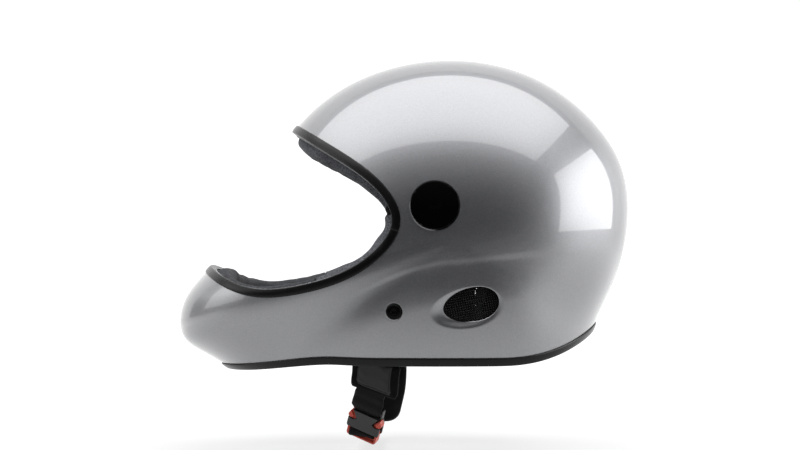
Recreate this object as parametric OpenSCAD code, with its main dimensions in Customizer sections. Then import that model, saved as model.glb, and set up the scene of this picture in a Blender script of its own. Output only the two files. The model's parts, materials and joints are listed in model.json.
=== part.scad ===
// Full face sport helmet with a quick-release chin strap.
// Frame: millimetres, +Z up, the wearer faces -Y and +X is the wearer's left.
// The origin lies on the head's axis in the plane of the rim, in the middle of the neck opening.
// The shell is one skin between the face port's edge and the rim's edge. A place on it is given
// by a turn f (0 crown, 1 chin bar, 2 crown again, left side first) and a run v (0 port, 1 rim).

/* [Shell] */
// Overall width across the ears
shell_w = 250; // [236:1:262]
// Overall length, chin bar to back of head
shell_len = 352; // [334:1:368]
// Height of the crown above the rim
shell_h = 234; // [224:1:244]
// Height of the widest level above the rim
widest_z = 93; // [84:1:102]
// Wall of the moulded shell
wall = 3.4; // [2.6:0.1:4.2]
// Squareness of the cross-section, 2 is an ellipse
squareness = 2.1; // [2:0.05:2.4]
// Rise of the rim at the nape
nape_rise = 24.5; // [16:0.5:30]
// Start of that rise behind the head's axis
nape_start = 40; // [28:1:52]
// How far the rim dips under the chin
chin_dip = 5.3; // [2:0.1:7]
// How far the jaw bulges past the cranium
jaw_bulge = 3.6; // [1.5:0.1:5]
// Height over which that bulge fades in
jaw_fade = 15; // [10:1:22]

/* [Edge trims] */
// Width of the trim's lip on the shell
trim_lip = 4.8; // [3.5:0.1:6]
// Thickness of the trim's outer lip
trim_t = 1.7; // [1.2:0.1:2.2]
// Rubber beyond the shell's edge
trim_bead = 1.8; // [1.2:0.1:2.4]
// Gap between trim and shell
trim_gap = 0.3; // [0.25:0.05:0.4]

/* [Lining] */
// Thickness of the crushable foam
foam_t = 23; // [18:0.5:26]
// Gap between shell and foam
foam_gap = 0.8; // [0.7:0.1:1.2]
// Thickness of the crown comfort pad
crown_pad_t = 9; // [6:0.5:12]
// Distance of the crown pad behind the brow pad
crown_back = 16; // [12:1:22]
// Thickness of the cheek pads
cheek_pad_t = 19; // [14:0.5:22]
// Thickness of the neck roll
neck_pad_t = 13; // [9:0.5:16]
// How far the lining rolls stand out past the port trim
roll_out = 5.5; // [3:0.5:8]
// Depth of the lining rolls, measured inwards from the skin
roll_deep = 36; // [32:0.5:39]
// Height of the lining rolls' round nose
roll_nose = 7; // [5:0.5:8]
// Gap between neighbouring soft pieces
soft_gap = 0.4; // [0.35:0.05:0.6]
// Room between a pad's back and the foam, for their curvature
pad_room = 1.1; // [0.9:0.1:1.6]

/* [Side caps] */
// Cap diameter
cap_d = 36; // [32:0.5:40]
// Cap thickness at its rim
cap_t = 3; // [2.6:0.1:3.6]
// Rise of the cap's dome over its rim
cap_dome = 1.1; // [0.6:0.1:1.6]
// Depth of the cap's seat below the skin
cap_seat = 1.9; // [1.5:0.1:2.3]
// Upward tilt of the cap's axis
cap_tilt = 11; // [8:1:14]
// Place of the cap behind the head's axis
cap_y = -6; // [-12:1:0]
// Height of the cap above the rim
cap_z = 118.5; // [112:0.5:124]
// Radius of the accessory thread's core
thread_r = 2.1; // [1.6:0.1:2.6]
// Length of the accessory thread
thread_len = 6.5; // [5:0.5:8]
// Wall of the threaded insert
insert_wall = 1.9; // [1.4:0.1:2.4]
// Radius of the boss behind the seat
boss_r = 8; // [7:0.5:10]
// Clearance of the cap in its seat
cap_gap = 0.25; // [0.2:0.05:0.4]

/* [Ear vents] */
// Length of the vent opening
vent_l = 41; // [36:0.5:46]
// Height of the vent opening
vent_h = 25; // [21:0.5:28]
// Tilt of the vent, rear end up
vent_tilt = 11; // [6:1:16]
// Place of the vent behind the head's axis
vent_y = 21; // [15:1:27]
// Height of the vent above the rim
vent_z = 46; // [42:1:50]
// Depth of the basin around the vent
vent_basin = 2.2; // [1:0.1:3]
// Pitch of the mesh
mesh_pitch = 2.5; // [2.3:0.1:3.2]
// Width of a mesh bar
mesh_bar = 0.9; // [0.7:0.05:1.1]
// Thickness of the mesh
mesh_t = 1.0; // [0.8:0.1:1.4]

/* [Strap anchor] */
// Place of the anchor rivet behind the head's axis
anchor_y = -36; // [-42:1:-30]
// Height of the anchor rivet above the rim
anchor_z = 41; // [38:0.5:46]
// Radius of the rivet's shank
rivet_r = 2.5; // [2:0.1:3]
// Radius of the rivet's head
rivet_head_r = 5.8; // [5:0.1:6.5]
// Radius of the dish around the rivet's head
dish_r = 7.6; // [7:0.1:8.4]
// Depth of that dish
dish_depth = 2.2; // [1.6:0.1:2.6]
// Radial clearance of the plate on the rivet
rivet_gap = 0.06; // [0.03:0.01:0.1]
// Thickness of the washers
washer_t = 1; // [0.8:0.1:1.4]
// Thickness of the hanger plate
plate_t = 1.6; // [1.2:0.1:2]
// Radius of the hanger plate's eye
eye_r = 8.5; // [7.5:0.1:9.5]

/* [Chin strap] */
// Width of the webbing
web_w = 20.5; // [18:0.5:22]
// Thickness of one layer of webbing
web_t = 1.3; // [1:0.1:1.5]
// Lean of the strap towards the chin, seen from the front
strap_lean = 27; // [24:0.5:29]
// Forward lean of the strap, seen from the side
strap_forward = 14; // [10:1:18]
// Turn of the strap's flat face
strap_yaw = 18; // [12:1:22]
// Strap length from rivet to the top edge of the pads
pad_start = 43; // [41:0.5:46]
// Length of the left pad
pad_l = 27; // [22:0.5:29]
// Length of the right pad
far_pad_l = 58; // [50:1:62]
// Width of the strap pads
pad_w = 36; // [32:0.5:40]
// Thickness of the strap pads
pad_t = 8; // [7:0.25:9]
// Strap length from rivet to the buckle's bar
buckle_s = 86; // [84:0.5:92]

/* [Buckle] */
// Width of the buckle
buckle_w = 26.5; // [25:0.5:30]
// Length of the buckle's socket
socket_l = 18; // [17.5:0.5:24]
// Thickness of the buckle
buckle_t = 8; // [7.4:0.2:9]
// Thickness of the socket's two faces
socket_wall = 1.5; // [1.2:0.1:1.7]
// Reach of the plug's frame past the socket
plug_l = 7.3; // [7.2:0.1:10]
// Width of a release prong
prong_w = 3.6; // [3:0.1:4.2]
// How far a release tab stands out of the socket
tab_out = 1.9; // [1.2:0.1:2.4]
// Sliding clearance in the buckle
slide_gap = 0.35; // [0.25:0.05:0.45]

/* [Hidden] */
$fn = 48;

// Side view of the closed helmet, chin bar and back of head included, as a smooth closed curve's
// control points [y, z] at a length of 352 and a height of 234.
PROFILE = [[148, 95], [148, 156], [101, 208], [49, 232], [-12, 236], [-73, 218], [-115, 182], [-135, 145],
    [-160, 110], [-164, 90], [-195, 60], [-204, 40], [-204, 15], [-187, 6], [-160, -13], [-146, -44],
    [-81, -79], [-11, -93], [58, -80], [105, -38], [117, 25], [134, 53]];
// Edge of the face port seen from the side, from the brow to the chin bar
PORT = [[-112, 181], [-87.3, 161.2], [-59.7, 143.9], [-41.6, 126.9], [-33, 108], [-41.5, 89.9],
    [-66.1, 69.5], [-101, 58.4], [-136.8, 53], [-162.2, 61.1], [-185, 69]];
// Where the port crosses the profile, as angles about the widest point
BROW_A = 147.4;
CHIN_TOP_A = 186.4;
function stretch(p) = [p[0] * shell_len / 352, p[1] * shell_h / 234];
profile = [for (p = PROFILE) stretch(p)];
pole = [10, widest_z];
half_w = shell_w / 2;

function mod360(a) = a - 360 * floor(a / 360);
// Uniform cubic spline weights at the fraction t of a span
function weights(t) = [pow(1 - t, 3) / 6, (3 * pow(t, 3) - 6 * t * t + 4) / 6,
    (-3 * pow(t, 3) + 3 * t * t + 3 * t + 1) / 6, pow(t, 3) / 6];
function closed_spline(c, s) =
    let (n = len(c), i = floor(s), w = weights(s - i))
    w[0] * c[(i + n - 1) % n] + w[1] * c[i % n] + w[2] * c[(i + 1) % n] + w[3] * c[(i + 2) % n];
function open_spline(c, t) =
    let (n = len(c) - 3, s = min(max(t, 0), 1) * n, i = min(floor(s), n - 1), w = weights(s - i))
    w[0] * c[i] + w[1] * c[i + 1] + w[2] * c[i + 2] + w[3] * c[i + 3];

profile_start = closed_spline(profile, 0) - pole;
start_a = atan2(profile_start[1], profile_start[0]);
radius_table = [for (i = [0 : 24 * len(profile)])
    let (p = closed_spline(profile, i / 24) - pole)
    [i == 24 * len(profile) ? 360 : mod360(atan2(p[1], p[0]) - start_a), norm(p)]];
function profile_r(a) = lookup(mod360(a - start_a), radius_table);
function profile_at(a) = pole + profile_r(a) * [cos(a), sin(a)];

port_ends = [profile_at(BROW_A), profile_at(CHIN_TOP_A)];
port_mid = [for (i = [1 : len(PORT) - 2]) stretch(PORT[i])];
port_all = concat([port_ends[0]], port_mid, [port_ends[1]]);
port_ctrl = concat([2 * port_all[0] - port_all[1]], port_all,
    [2 * port_all[len(port_all) - 1] - port_all[len(port_all) - 2]]);
function port_at(u) = open_spline(port_ctrl, u);

// Where the rim crosses the profile: at its rise on the nape and at its dip under the chin
NAPE_A = lookup(nape_rise, [for (a = [-55 : 0.5 : -20]) [profile_at(a)[1], a]]);
CHIN_LOW_A = lookup(chin_dip, [for (a = [202 : 0.5 : 216]) [-profile_at(a)[1], a]]);
nape = profile_at(NAPE_A);
chin_low = profile_at(CHIN_LOW_A);
function ease(t) = let (k = min(max(t, 0), 1)) k * k * (3 - 2 * k);
function rim_z(y) = trim_bead
    + (nape[1] - trim_bead) * pow(max(0, (y - nape_start) / (nape[0] - nape_start)), 2.35)
    + (chin_low[1] - trim_bead) * ease((y + 110) / (chin_low[0] + 110));
function rim_at(u) = let (y = nape[0] + (chin_low[0] - nape[0]) * u) [y, rim_z(y)];

function blend(p0, m0, p1, m1, v) = (2 * pow(v, 3) - 3 * v * v + 1) * p0 + (pow(v, 3) - 2 * v * v + v) * m0
    + (3 * v * v - 2 * pow(v, 3)) * p1 + (pow(v, 3) - v * v) * m1;
function unit(p) = p / norm(p);
// A line of the skin from the port's edge to the rim's edge, before its ends meet the profile
function rib(u, v) =
    let (a = port_at(u), b = rim_at(u), e = 0.002,
        d = unit(port_at(min(u + e, 1)) - port_at(max(u - e, 0))),
        reach = norm(a - b) * (1 + 0.8 * pow(1 - u, 2)))
    blend(a, reach * [-d[1], d[0]], b, reach * [0, -1], v);
function side_view(u, v) = rib(u, v)
    + pow(1 - u, 4) * (profile_at(BROW_A + (NAPE_A - BROW_A) * v) - rib(0, v))
    + pow(u, 4) * (profile_at(CHIN_TOP_A + (CHIN_LOW_A - CHIN_TOP_A) * v) - rib(1, v));

// Share of the profile's reach at a place of the side view: 0 at the widest point, 1 on the profile
function share(p) = let (d = p - pole) norm(d) / profile_r(atan2(d[1], d[0]));
function side_x(p) = half_w * pow(max(0, 1 - pow(min(share(p), 1), squareness)), 1 / squareness);

// The jaw's swelling, measured along the skin's normal
function ridge_z(y) = 77 + 6 * ease((y + 10) / 90) - 24 * pow(max(0, -(y + 5)) / 60, 1.6);
function swelling(p) = jaw_bulge * ease((ridge_z(p[0]) - p[1]) / jaw_fade + 0.35)
    * ease((p[0] + 92) / 45) * ease((112 - p[0]) / 60);
// Outward normal of the smooth skin
function level(p) = pow(share(p), squareness);
function normal_at(p, x) =
    let (e = 0.8, g = squareness * pow(max(x, 0) / half_w, squareness - 1) / half_w,
        gy = (level(p + [e, 0]) - level(p - [e, 0])) / (2 * e),
        gz = (level(p + [0, e]) - level(p - [0, e])) / (2 * e))
    unit([g, gy, gz]);

// A place in space: turn f, run v and depth under the skin (negative is outside it)
function place(f, v, depth) =
    let (g = f - 2 * floor(f / 2), flip = g > 1 ? -1 : 1, mid = g == 0 || g == 1,
        u = (1 - cos(180 * g)) / 2, p = side_view(u, v), x = mid ? 0 : side_x(p),
        n = normal_at(p, x), q = [x, p[0], p[1]] + (swelling(p) - depth) * n)
    [mid ? 0 : flip * q[0], q[1], q[2]];
// Runs that lie a length in millimetres from the port's edge or from the rim's edge
function turn_u(f) = (1 - cos(180 * f)) / 2;
function from_port(f, mm) = 0.02 * mm / norm(place(f, 0.02, 0) - place(f, 0, 0));
function from_rim(f, mm) = 1 - 0.02 * mm / norm(place(f, 1, 0) - place(f, 0.98, 0));
// The turn at which a rib starts its share u of the port's edge
function turn_of(u) = acos(1 - 2 * u) / 180;

// A solid swept over the turns. section(f) gives its outline as [run, depth] pairs.
module swept(turns, section, loop = false) {
    rings = [for (f = turns) [for (q = section(f)) place(f, q[0], q[1])]];
    n = len(rings);
    m = len(rings[0]);
    spans = loop ? n : n - 1;
    ends = loop ? [] : [for (k = [0, n - 1])
        [for (c = [0 : 2]) [for (q = rings[k]) q[c]] * [for (q = rings[k]) 1 / m]]];
    sides = [for (i = [0 : spans - 1]) for (j = [0 : m - 1])
        let (a = i * m + j, b = i * m + (j + 1) % m, d = ((i + 1) % n) * m + j,
            c = ((i + 1) % n) * m + (j + 1) % m)
        each [[a, b, c], [a, c, d]]];
    caps = loop ? [] : [for (j = [0 : m - 1])
        each [[n * m, (j + 1) % m, j], [n * m + 1, (n - 1) * m + j, (n - 1) * m + (j + 1) % m]]];
    polyhedron(concat([for (r = rings) each r], ends), concat(sides, caps));
}
function steps(a, b, n) = [for (i = [0 : n]) a + (b - a) * i / n];
// Turns from a to b that share the shell's own stations, so that neighbours are cut alike
function shared_turns(a, b) =
    let (n = SHELL_TURNS / 2, k0 = floor(a * n + 0.3) + 1, k1 = ceil(b * n - 0.3) - 1)
    concat([a], [for (k = [k0 : k1]) k / n], [b]);
// The rounding of a cushion's ends: 1 in the middle, falling to low at both ends of 0 to 1
function crown(t, low = 0.35) = low + (1 - low) * pow(max(0, 1 - pow(abs(2 * t - 1), 3)), 0.5);

// Depths of the layers under the skin
foam_out = wall + foam_gap;
foam_in = foam_out + foam_t;
pad_out = foam_in + pad_room;
roll_top = wall + trim_gap + trim_t + soft_gap + 0.6;
roll_back = trim_lip + 4;

// The shell
SHELL_TURNS = 72;
SHELL_RUNS = 22;
module for_sides() {
    children();
    mirror([1, 0, 0]) children();
}
module only_left(side) {
    if (side > 0) children();
    else mirror([1, 0, 0]) children();
}
cap_x = side_x([cap_y, cap_z]) - cap_seat;
module at_cap() {
    translate([cap_x, cap_y, cap_z]) rotate([0, 90 - cap_tilt, 0]) children();
}
anchor_x = side_x([anchor_y, anchor_z]) + swelling([anchor_y, anchor_z]) * 0.97;
dish_x = anchor_x - dish_depth;
boss_x = anchor_x - wall - dish_r * 0.26;
module at_anchor(x) {
    translate([x, anchor_y, anchor_z]) rotate([0, 90, 0]) children();
}
function egg(grow = 0) = [for (k = [0 : 35])
    let (a = 10 * k, s = cos(a), x = (vent_l / 2 + grow) * s,
        z = (vent_h / 2 + grow) * sin(a) * (1 + 0.12 * s))
    [x * cos(vent_tilt) - z * sin(vent_tilt), x * sin(vent_tilt) + z * cos(vent_tilt)]];
// Growth of the tapered basin from its floor to its open end
basin_flare = 1.55;
vent_x = side_x([vent_y, vent_z]) + swelling([vent_y, vent_z]);
module vent_prism(grow, x0, x1, flare = 1) {
    translate([x0, vent_y, vent_z]) rotate([90, 0, 90])
        linear_extrude(x1 - x0, scale = flare) polygon(egg(grow));
}

module outer_shell() {
    runs = steps(0, 1, SHELL_RUNS);
    color("silver") difference() {
        union() {
            swept(steps(0, 2 - 2 / SHELL_TURNS, SHELL_TURNS - 1),
                function (f) concat([for (v = runs) [v, 0]],
                    [for (i = [SHELL_RUNS : -1 : 0]) [runs[i], wall]]), true);
            for_sides() {
                at_cap() translate([0, 0, -thread_len - 2.6]) cylinder(h = thread_len + 2.6, r = boss_r);
                at_anchor(boss_x) cylinder(h = dish_x - boss_x - 0.4, r = dish_r);
            }
        }
        for_sides() {
            at_cap() cylinder(h = 12, r = cap_d / 2 + cap_gap);
            at_cap() translate([0, 0, -thread_len - 0.2])
                cylinder(h = thread_len + 1, r = thread_r + insert_wall + 0.1);
            at_anchor(dish_x) cylinder(h = 8, r = dish_r);
            at_anchor(boss_x - 1) cylinder(h = 12, r = rivet_r + 0.1);
            vent_prism(0, vent_x - 14, vent_x + 10);
            vent_prism(0.8, vent_x - vent_basin, vent_x + 3.5, basin_flare);
        }
    }
}

// Outline of a U-shaped edge trim at an edge, by the run of its lip's length mm
function trim_outline(run) = [
    [run(trim_lip), -trim_gap],
    [run(trim_lip), -trim_gap - 0.6 * trim_t],
    [run(trim_lip - 1.2), -trim_gap - trim_t],
    [run(-0.2 * trim_bead), -trim_gap - trim_t],
    [run(-trim_bead), -trim_gap],
    [run(-trim_bead), wall],
    [run(-0.2 * trim_bead), wall + trim_gap + trim_t],
    [run(trim_lip), wall + trim_gap + trim_t],
    [run(trim_lip), wall + 2 * trim_gap],
    [run(-trim_gap), wall + 2 * trim_gap],
    [run(-trim_gap), -trim_gap]];
module face_trim() {
    color("#1c1d1f") swept(steps(0, 2 - 2 / SHELL_TURNS, SHELL_TURNS - 1),
        function (f) trim_outline(function (mm) from_port(f, mm)), true);
}
module rim_trim() {
    color("#1c1d1f") swept(steps(0, 2 - 2 / SHELL_TURNS, SHELL_TURNS - 1),
        function (f) trim_outline(function (mm) from_rim(f, mm)), true);
}

// The lining
liner_turn = turn_of(0.4);
module impact_liner() {
    rows = 14;
    color("#2a2b2d") difference() {
        swept(shared_turns(-liner_turn, liner_turn),
            function (f) let (k = abs(f) / liner_turn, v0 = from_port(f, roll_back + soft_gap),
                v1 = from_rim(f, 12) - 0.6 * k * k, s = steps(v0, v1, rows))
                concat([for (v = s) [v, foam_out]], [for (i = [rows : -1 : 0]) [s[i], foam_in]]));
        for_sides() at_cap() translate([0, 0, -thread_len - 4]) cylinder(h = 20, r = boss_r + 0.5);
    }
}
chin_turn = turn_of(0.72);
module chin_foam() {
    color("#2a2b2d") swept(shared_turns(chin_turn, 2 - chin_turn),
        function (f) let (v0 = from_port(f, roll_back + soft_gap), v1 = from_rim(f, 9), s = steps(v0, v1, 3))
            concat([for (v = s) [v, foam_out]], [for (i = [3 : -1 : 0]) [s[i], foam_in]]));
}
// The crown pad: a quilted cushion with a channel along the middle and one across
function quilt(t, n) = 1 - 0.3 * pow(abs(cos(180 * n * t)), 12);
crown_turn = turn_of(0.2);
module crown_pad() {
    rows = 14;
    color("#3a3f46") swept(shared_turns(-crown_turn, crown_turn),
        function (f) let (v0 = from_port(f, roll_back + crown_back),
            v1 = 0.7 - 0.15 * pow(abs(f) / crown_turn, 2),
            g = (f / crown_turn + 1) / 2, k = crown(g, 0.3) * quilt(g, 3))
            concat([for (t = steps(0, 1, rows)) [v0 + (v1 - v0) * t, pad_out]],
                [for (i = [rows : -1 : 0]) let (t = i / rows)
                    [v0 + (v1 - v0) * t, pad_out + crown_pad_t * k * crown(t, 0.3) * quilt(t, 3)]]));
}
// Outline of a soft roll along the port's edge; k narrows it at its ends
function roll_outline(f, k, deep) = [
    [from_port(f, roll_back), roll_top + 1],
    [from_port(f, 0), roll_top],
    [from_port(f, -trim_bead - roll_out * k * 0.7), roll_top + 2.5],
    [from_port(f, -trim_bead - roll_out * k), roll_top + roll_nose],
    [from_port(f, -trim_bead - roll_out * k * 0.8), roll_top + (deep - roll_top) * 0.6],
    [from_port(f, 0), roll_top + (deep - roll_top) * (0.6 + 0.3 * k)],
    [from_port(f, roll_back * 0.6), roll_top + (deep - roll_top) * (0.6 + 0.4 * k)],
    [from_port(f, roll_back), roll_top + (deep - roll_top) * 0.85]];
brow_turn = turn_of(0.385);
module brow_pad() {
    color("#4a5058") swept(shared_turns(-brow_turn, brow_turn),
        function (f) roll_outline(f, crown((f / brow_turn + 1) / 2, 0.45), roll_deep));
}
lining_turn = turn_of(0.66);
module chin_lining() {
    color("#4a5058") swept(shared_turns(lining_turn, 2 - lining_turn),
        function (f) roll_outline(f, crown((f - lining_turn) / (2 - 2 * lining_turn), 0.5), roll_deep - 8));
}
neck_turn = turn_of(0.33);
module neck_roll() {
    color("#3a3f46") swept(shared_turns(-neck_turn, neck_turn),
        function (f) let (v1 = from_rim(f, 7), v0 = from_rim(f, 50), k = crown((f / neck_turn + 1) / 2, 0.3))
            concat([for (t = [0, 0.5, 1]) [v0 + (v1 - v0) * t, pad_out]],
                [for (i = [8 : -1 : 0]) let (t = i / 8)
                    [v0 + (v1 - v0) * t, pad_out + neck_pad_t * k * crown(t, 0.3) * quilt(t, 2)]]));
}
cheek_front = turn_of(0.655);
cheek_rear = turn_of(0.395);
module cheek_pad() {
    rows = 10;
    swept(shared_turns(cheek_rear, cheek_front),
        function (f) let (t = (f - cheek_rear) / (cheek_front - cheek_rear), k = crown(t, 0.4),
            v0 = from_port(f, -trim_bead - roll_out * 0.8 * k), va = from_port(f, 0),
            vb = from_port(f, roll_back),
            v1 = from_rim(f, 9))
            concat([[v0, roll_top + roll_nose], [va, roll_top], [vb, roll_top + 1], [vb, pad_out],
                [(vb + v1) / 2, pad_out], [v1, pad_out]],
                [for (i = [rows : -1 : 0]) let (r = i / rows)
                    [v0 + (v1 - v0) * r, pad_out + cheek_pad_t * k * crown(r, 0.35) * quilt(r, 2)]]));
}
module cheek_pad_left() {
    color("#4a5058") cheek_pad();
}
module cheek_pad_right() {
    color("#4a5058") mirror([1, 0, 0]) cheek_pad();
}

// Side caps and inserts
module pivot_cap(side) {
    r = cap_d / 2;
    dome_r = (r * r + cap_dome * cap_dome) / (2 * cap_dome);
    color("#101112") only_left(side) at_cap() difference() {
        rotate_extrude() difference() {
            intersection() {
                translate([0, cap_t + cap_dome - dome_r]) circle(dome_r, $fn = 720);
                square([r, cap_t + cap_dome]);
            }
            translate([-1, -1]) square([thread_r + insert_wall + 3.4, 2.6]);
        }
        for (a = [35, 145, 235, 325]) rotate(a) translate([r + 0.4, 0, -1]) cylinder(h = 9, r = 1.2);
    }
}
module pivot_insert(side) {
    color("#b08d4a") only_left(side) at_cap() difference() {
        union() {
            translate([0, 0, -thread_len]) cylinder(h = thread_len, r = thread_r + insert_wall);
            cylinder(h = 1, r = thread_r + insert_wall + 2);
        }
        translate([0, 0, -thread_len - 1]) cylinder(h = thread_len + 3, r = thread_r);
    }
}

// Ear vent mesh
module vent_mesh(side) {
    cols = floor(vent_l / 2 / mesh_pitch);
    rows = floor(vent_h / 2 / mesh_pitch);
    color("#141516") only_left(side)
        translate([vent_x - wall + 0.6, vent_y, vent_z]) rotate([90, 0, 90])
        linear_extrude(mesh_t) difference() {
            polygon(egg(-0.3));
            rotate(vent_tilt) for (i = [-cols : cols], j = [-rows : rows])
                let (s = i * mesh_pitch / (vent_l / 2), b = j * mesh_pitch / (vent_h / 2 * (1 + 0.12 * s)))
                if (norm([s, b]) < 0.88)
                    translate([i * mesh_pitch, j * mesh_pitch]) square(mesh_pitch - mesh_bar, center = true);
        }
}

// Strap anchors
washer_x = boss_x;
washer_r = rivet_r + 3;
plate_x = washer_x - washer_t - plate_t / 2 - 0.05;
tail_x = plate_x - plate_t / 2 - 0.05 - washer_t;
module anchor_rivet(side) {
    color("#151617") only_left(side) {
        at_anchor(tail_x - 1.6) cylinder(h = dish_x - tail_x + 1.8, r = rivet_r);
        at_anchor(tail_x - 1.6) cylinder(h = 1.6, r = rivet_r + 1.9);
        at_anchor(dish_x) rotate_extrude() difference() {
            intersection() {
                translate([0, -rivet_head_r * 1.3]) circle(rivet_head_r * 1.65);
                square([rivet_head_r, 2.4]);
            }
            translate([0, 1.7]) square([2.1, 2]);
        }
    }
}
module anchor_washers(side) {
    color("#8c9094") only_left(side) for (x = [washer_x - washer_t, tail_x])
        at_anchor(x) difference() {
            cylinder(h = washer_t, r = washer_r);
            translate([0, 0, -1]) cylinder(h = 4, r = rivet_r + 0.08);
        }
}

// Strap frame: origin on the rivet's axis in the plate, local x across the webbing to the rear,
// local y down the strap and local z through its thickness towards the head.
down = unit([-sin(strap_lean), -tan(strap_forward) * cos(strap_lean), -cos(strap_lean)]);
flat0 = [sin(strap_yaw), cos(strap_yaw), -0.4];
across = unit(flat0 - (flat0 * down) * down);
thick = cross(across, down);
strap_o = [plate_x, anchor_y, anchor_z];
module at_strap() {
    multmatrix([[across[0], down[0], thick[0], strap_o[0]], [across[1], down[1], thick[1], strap_o[1]],
        [across[2], down[2], thick[2], strap_o[2]], [0, 0, 0, 1]]) children();
}
bar_s = 20;
bar_h = 3;
loop_r = 2;
module hanger_plate(side) {
    color("#9a9da0") only_left(side) difference() {
        union() {
            at_anchor(plate_x - plate_t / 2) cylinder(h = plate_t, r = eye_r);
            hull() {
                at_anchor(plate_x - plate_t / 2) translate([washer_r + 0.8, -eye_r * 0.6, 0.1])
                    cube([2, eye_r * 1.2, plate_t - 0.2]);
                at_strap() translate([-web_w / 2 + 1, bar_s - 7.5, 0.1 - plate_t / 2])
                    cube([web_w - 2, 1.5, plate_t - 0.2]);
            }
            at_strap() translate([-web_w / 2 - 3, bar_s - 8.4, -plate_t / 2])
                cube([web_w + 6, 8.4 + bar_h / 2, plate_t]);
        }
        at_anchor(plate_x - 3) cylinder(h = 6, r = rivet_r + rivet_gap);
        at_strap() translate([-web_w / 2 - 0.6, bar_s - bar_h / 2 - 3.4, -plate_t])
            cube([web_w + 1.2, 3.4, 2 * plate_t]);
    }
}
// Webbing folded round a bar at each end, seen along its width
module folded_web(s0, s1) {
    translate([-web_w / 2, 0, 0]) rotate([90, 0, 90]) linear_extrude(web_w) difference() {
        union() {
            translate([s0, 0]) circle(loop_r + web_t);
            translate([s1, 0]) circle(loop_r + web_t);
            translate([s0, -web_t - 0.1]) square([s1 - s0, 2 * web_t + 0.2]);
        }
        translate([s0, 0]) circle(loop_r);
        translate([s1, 0]) circle(loop_r);
    }
}
module webbing_left() {
    color("#17181a") at_strap() folded_web(bar_s, buckle_s);
}
far_end = pad_start + far_pad_l + 4;
module webbing_right() {
    color("#17181a") only_left(-1) at_strap() difference() {
        folded_web(bar_s, far_end);
        translate([-web_w, far_end - 6, -10]) cube([2 * web_w, 20, 20]);
    }
}
// A sleeve-like pad round the webbing with drawn-in edges
module strap_pad(w, l, t) {
    stations = [[0, 0.72], [0.12, 0.93], [0.3, 1], [0.7, 1], [0.88, 0.93], [1, 0.72]];
    rings = [for (q = stations) [for (k = [0 : 15]) let (c = cos(22.5 * k), s = sin(22.5 * k))
        [w / 2 * (0.9 + 0.1 * q[1]) * sign(c) * pow(abs(c), 0.6), l * q[0],
            t / 2 * q[1] * sign(s) * pow(abs(s), 0.7)]]];
    n = len(rings);
    faces = [for (i = [0 : n - 2]) for (j = [0 : 15])
        let (a = i * 16 + j, b = i * 16 + (j + 1) % 16, c = b + 16, d = a + 16) each [[a, d, c], [a, c, b]]];
    ends = [[for (j = [0 : 15]) j], [for (j = [15 : -1 : 0]) (n - 1) * 16 + j]];
    difference() {
        polyhedron([for (r = rings) each r], concat(faces, ends));
        translate([-web_w / 2 - 0.4, -1, -web_t - 0.4]) cube([web_w + 0.8, l + 2, 2 * web_t + 0.8]);
    }
}
module strap_pad_left() {
    color("#4b4e52") at_strap() translate([0, pad_start, 0]) strap_pad(pad_w, pad_l, pad_t);
}
module strap_pad_right() {
    color("#1d1e20") only_left(-1) at_strap() translate([0, pad_start, 0]) strap_pad(pad_w, far_pad_l, pad_t);
}

// The buckle: socket on the left strap, plug frame with two release prongs
mouth_s = buckle_s + socket_l;
slot_t = buckle_t - 2 * socket_wall;
tongue_t = slot_t - 2 * slide_gap;
tab_s = buckle_s + 6;
tab_l = 5.5;
prong_x = buckle_w / 2 - 2.2 - prong_w / 2;
prong_tip_s = tab_s + 1.4;
module socket_outline() {
    difference() {
        hull() {
            for (k = [-1, 1]) translate([k * (buckle_w / 2 - 3), buckle_s - 1]) circle(2.5);
            for (k = [-1, 1]) translate([k * (buckle_w / 2 - 1), mouth_s - 1]) circle(1);
        }
        for (k = [-1, 1]) translate([k * (buckle_w / 2 + 1.2), tab_s + tab_l / 2]) circle(3.6);
    }
}
// A slot across the buckle for the webbing, from s0 to s1 along the strap
module web_slot(s0, s1, side_room) {
    translate([-web_w / 2 - side_room, s0, -buckle_t]) cube([web_w + 2 * side_room, s1 - s0, 2 * buckle_t]);
}
module buckle_socket() {
    color("#2c2e31") at_strap() difference() {
        translate([0, 0, -buckle_t / 2]) linear_extrude(buckle_t) socket_outline();
        translate([-buckle_w, buckle_s + 4.2, -slot_t / 2]) cube([2 * buckle_w, socket_l, slot_t]);
        web_slot(buckle_s + bar_h / 2, buckle_s + bar_h / 2 + 3.2, 0.6);
        web_slot(buckle_s - 6, buckle_s - bar_h / 2, 0.6);
        for (k = [-1, 1]) translate([-web_w / 2 - 0.6, buckle_s - 2, k > 0 ? 0.8 : -0.8 - buckle_t])
            cube([web_w + 1.2, 5, buckle_t]);
    }
}
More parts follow.
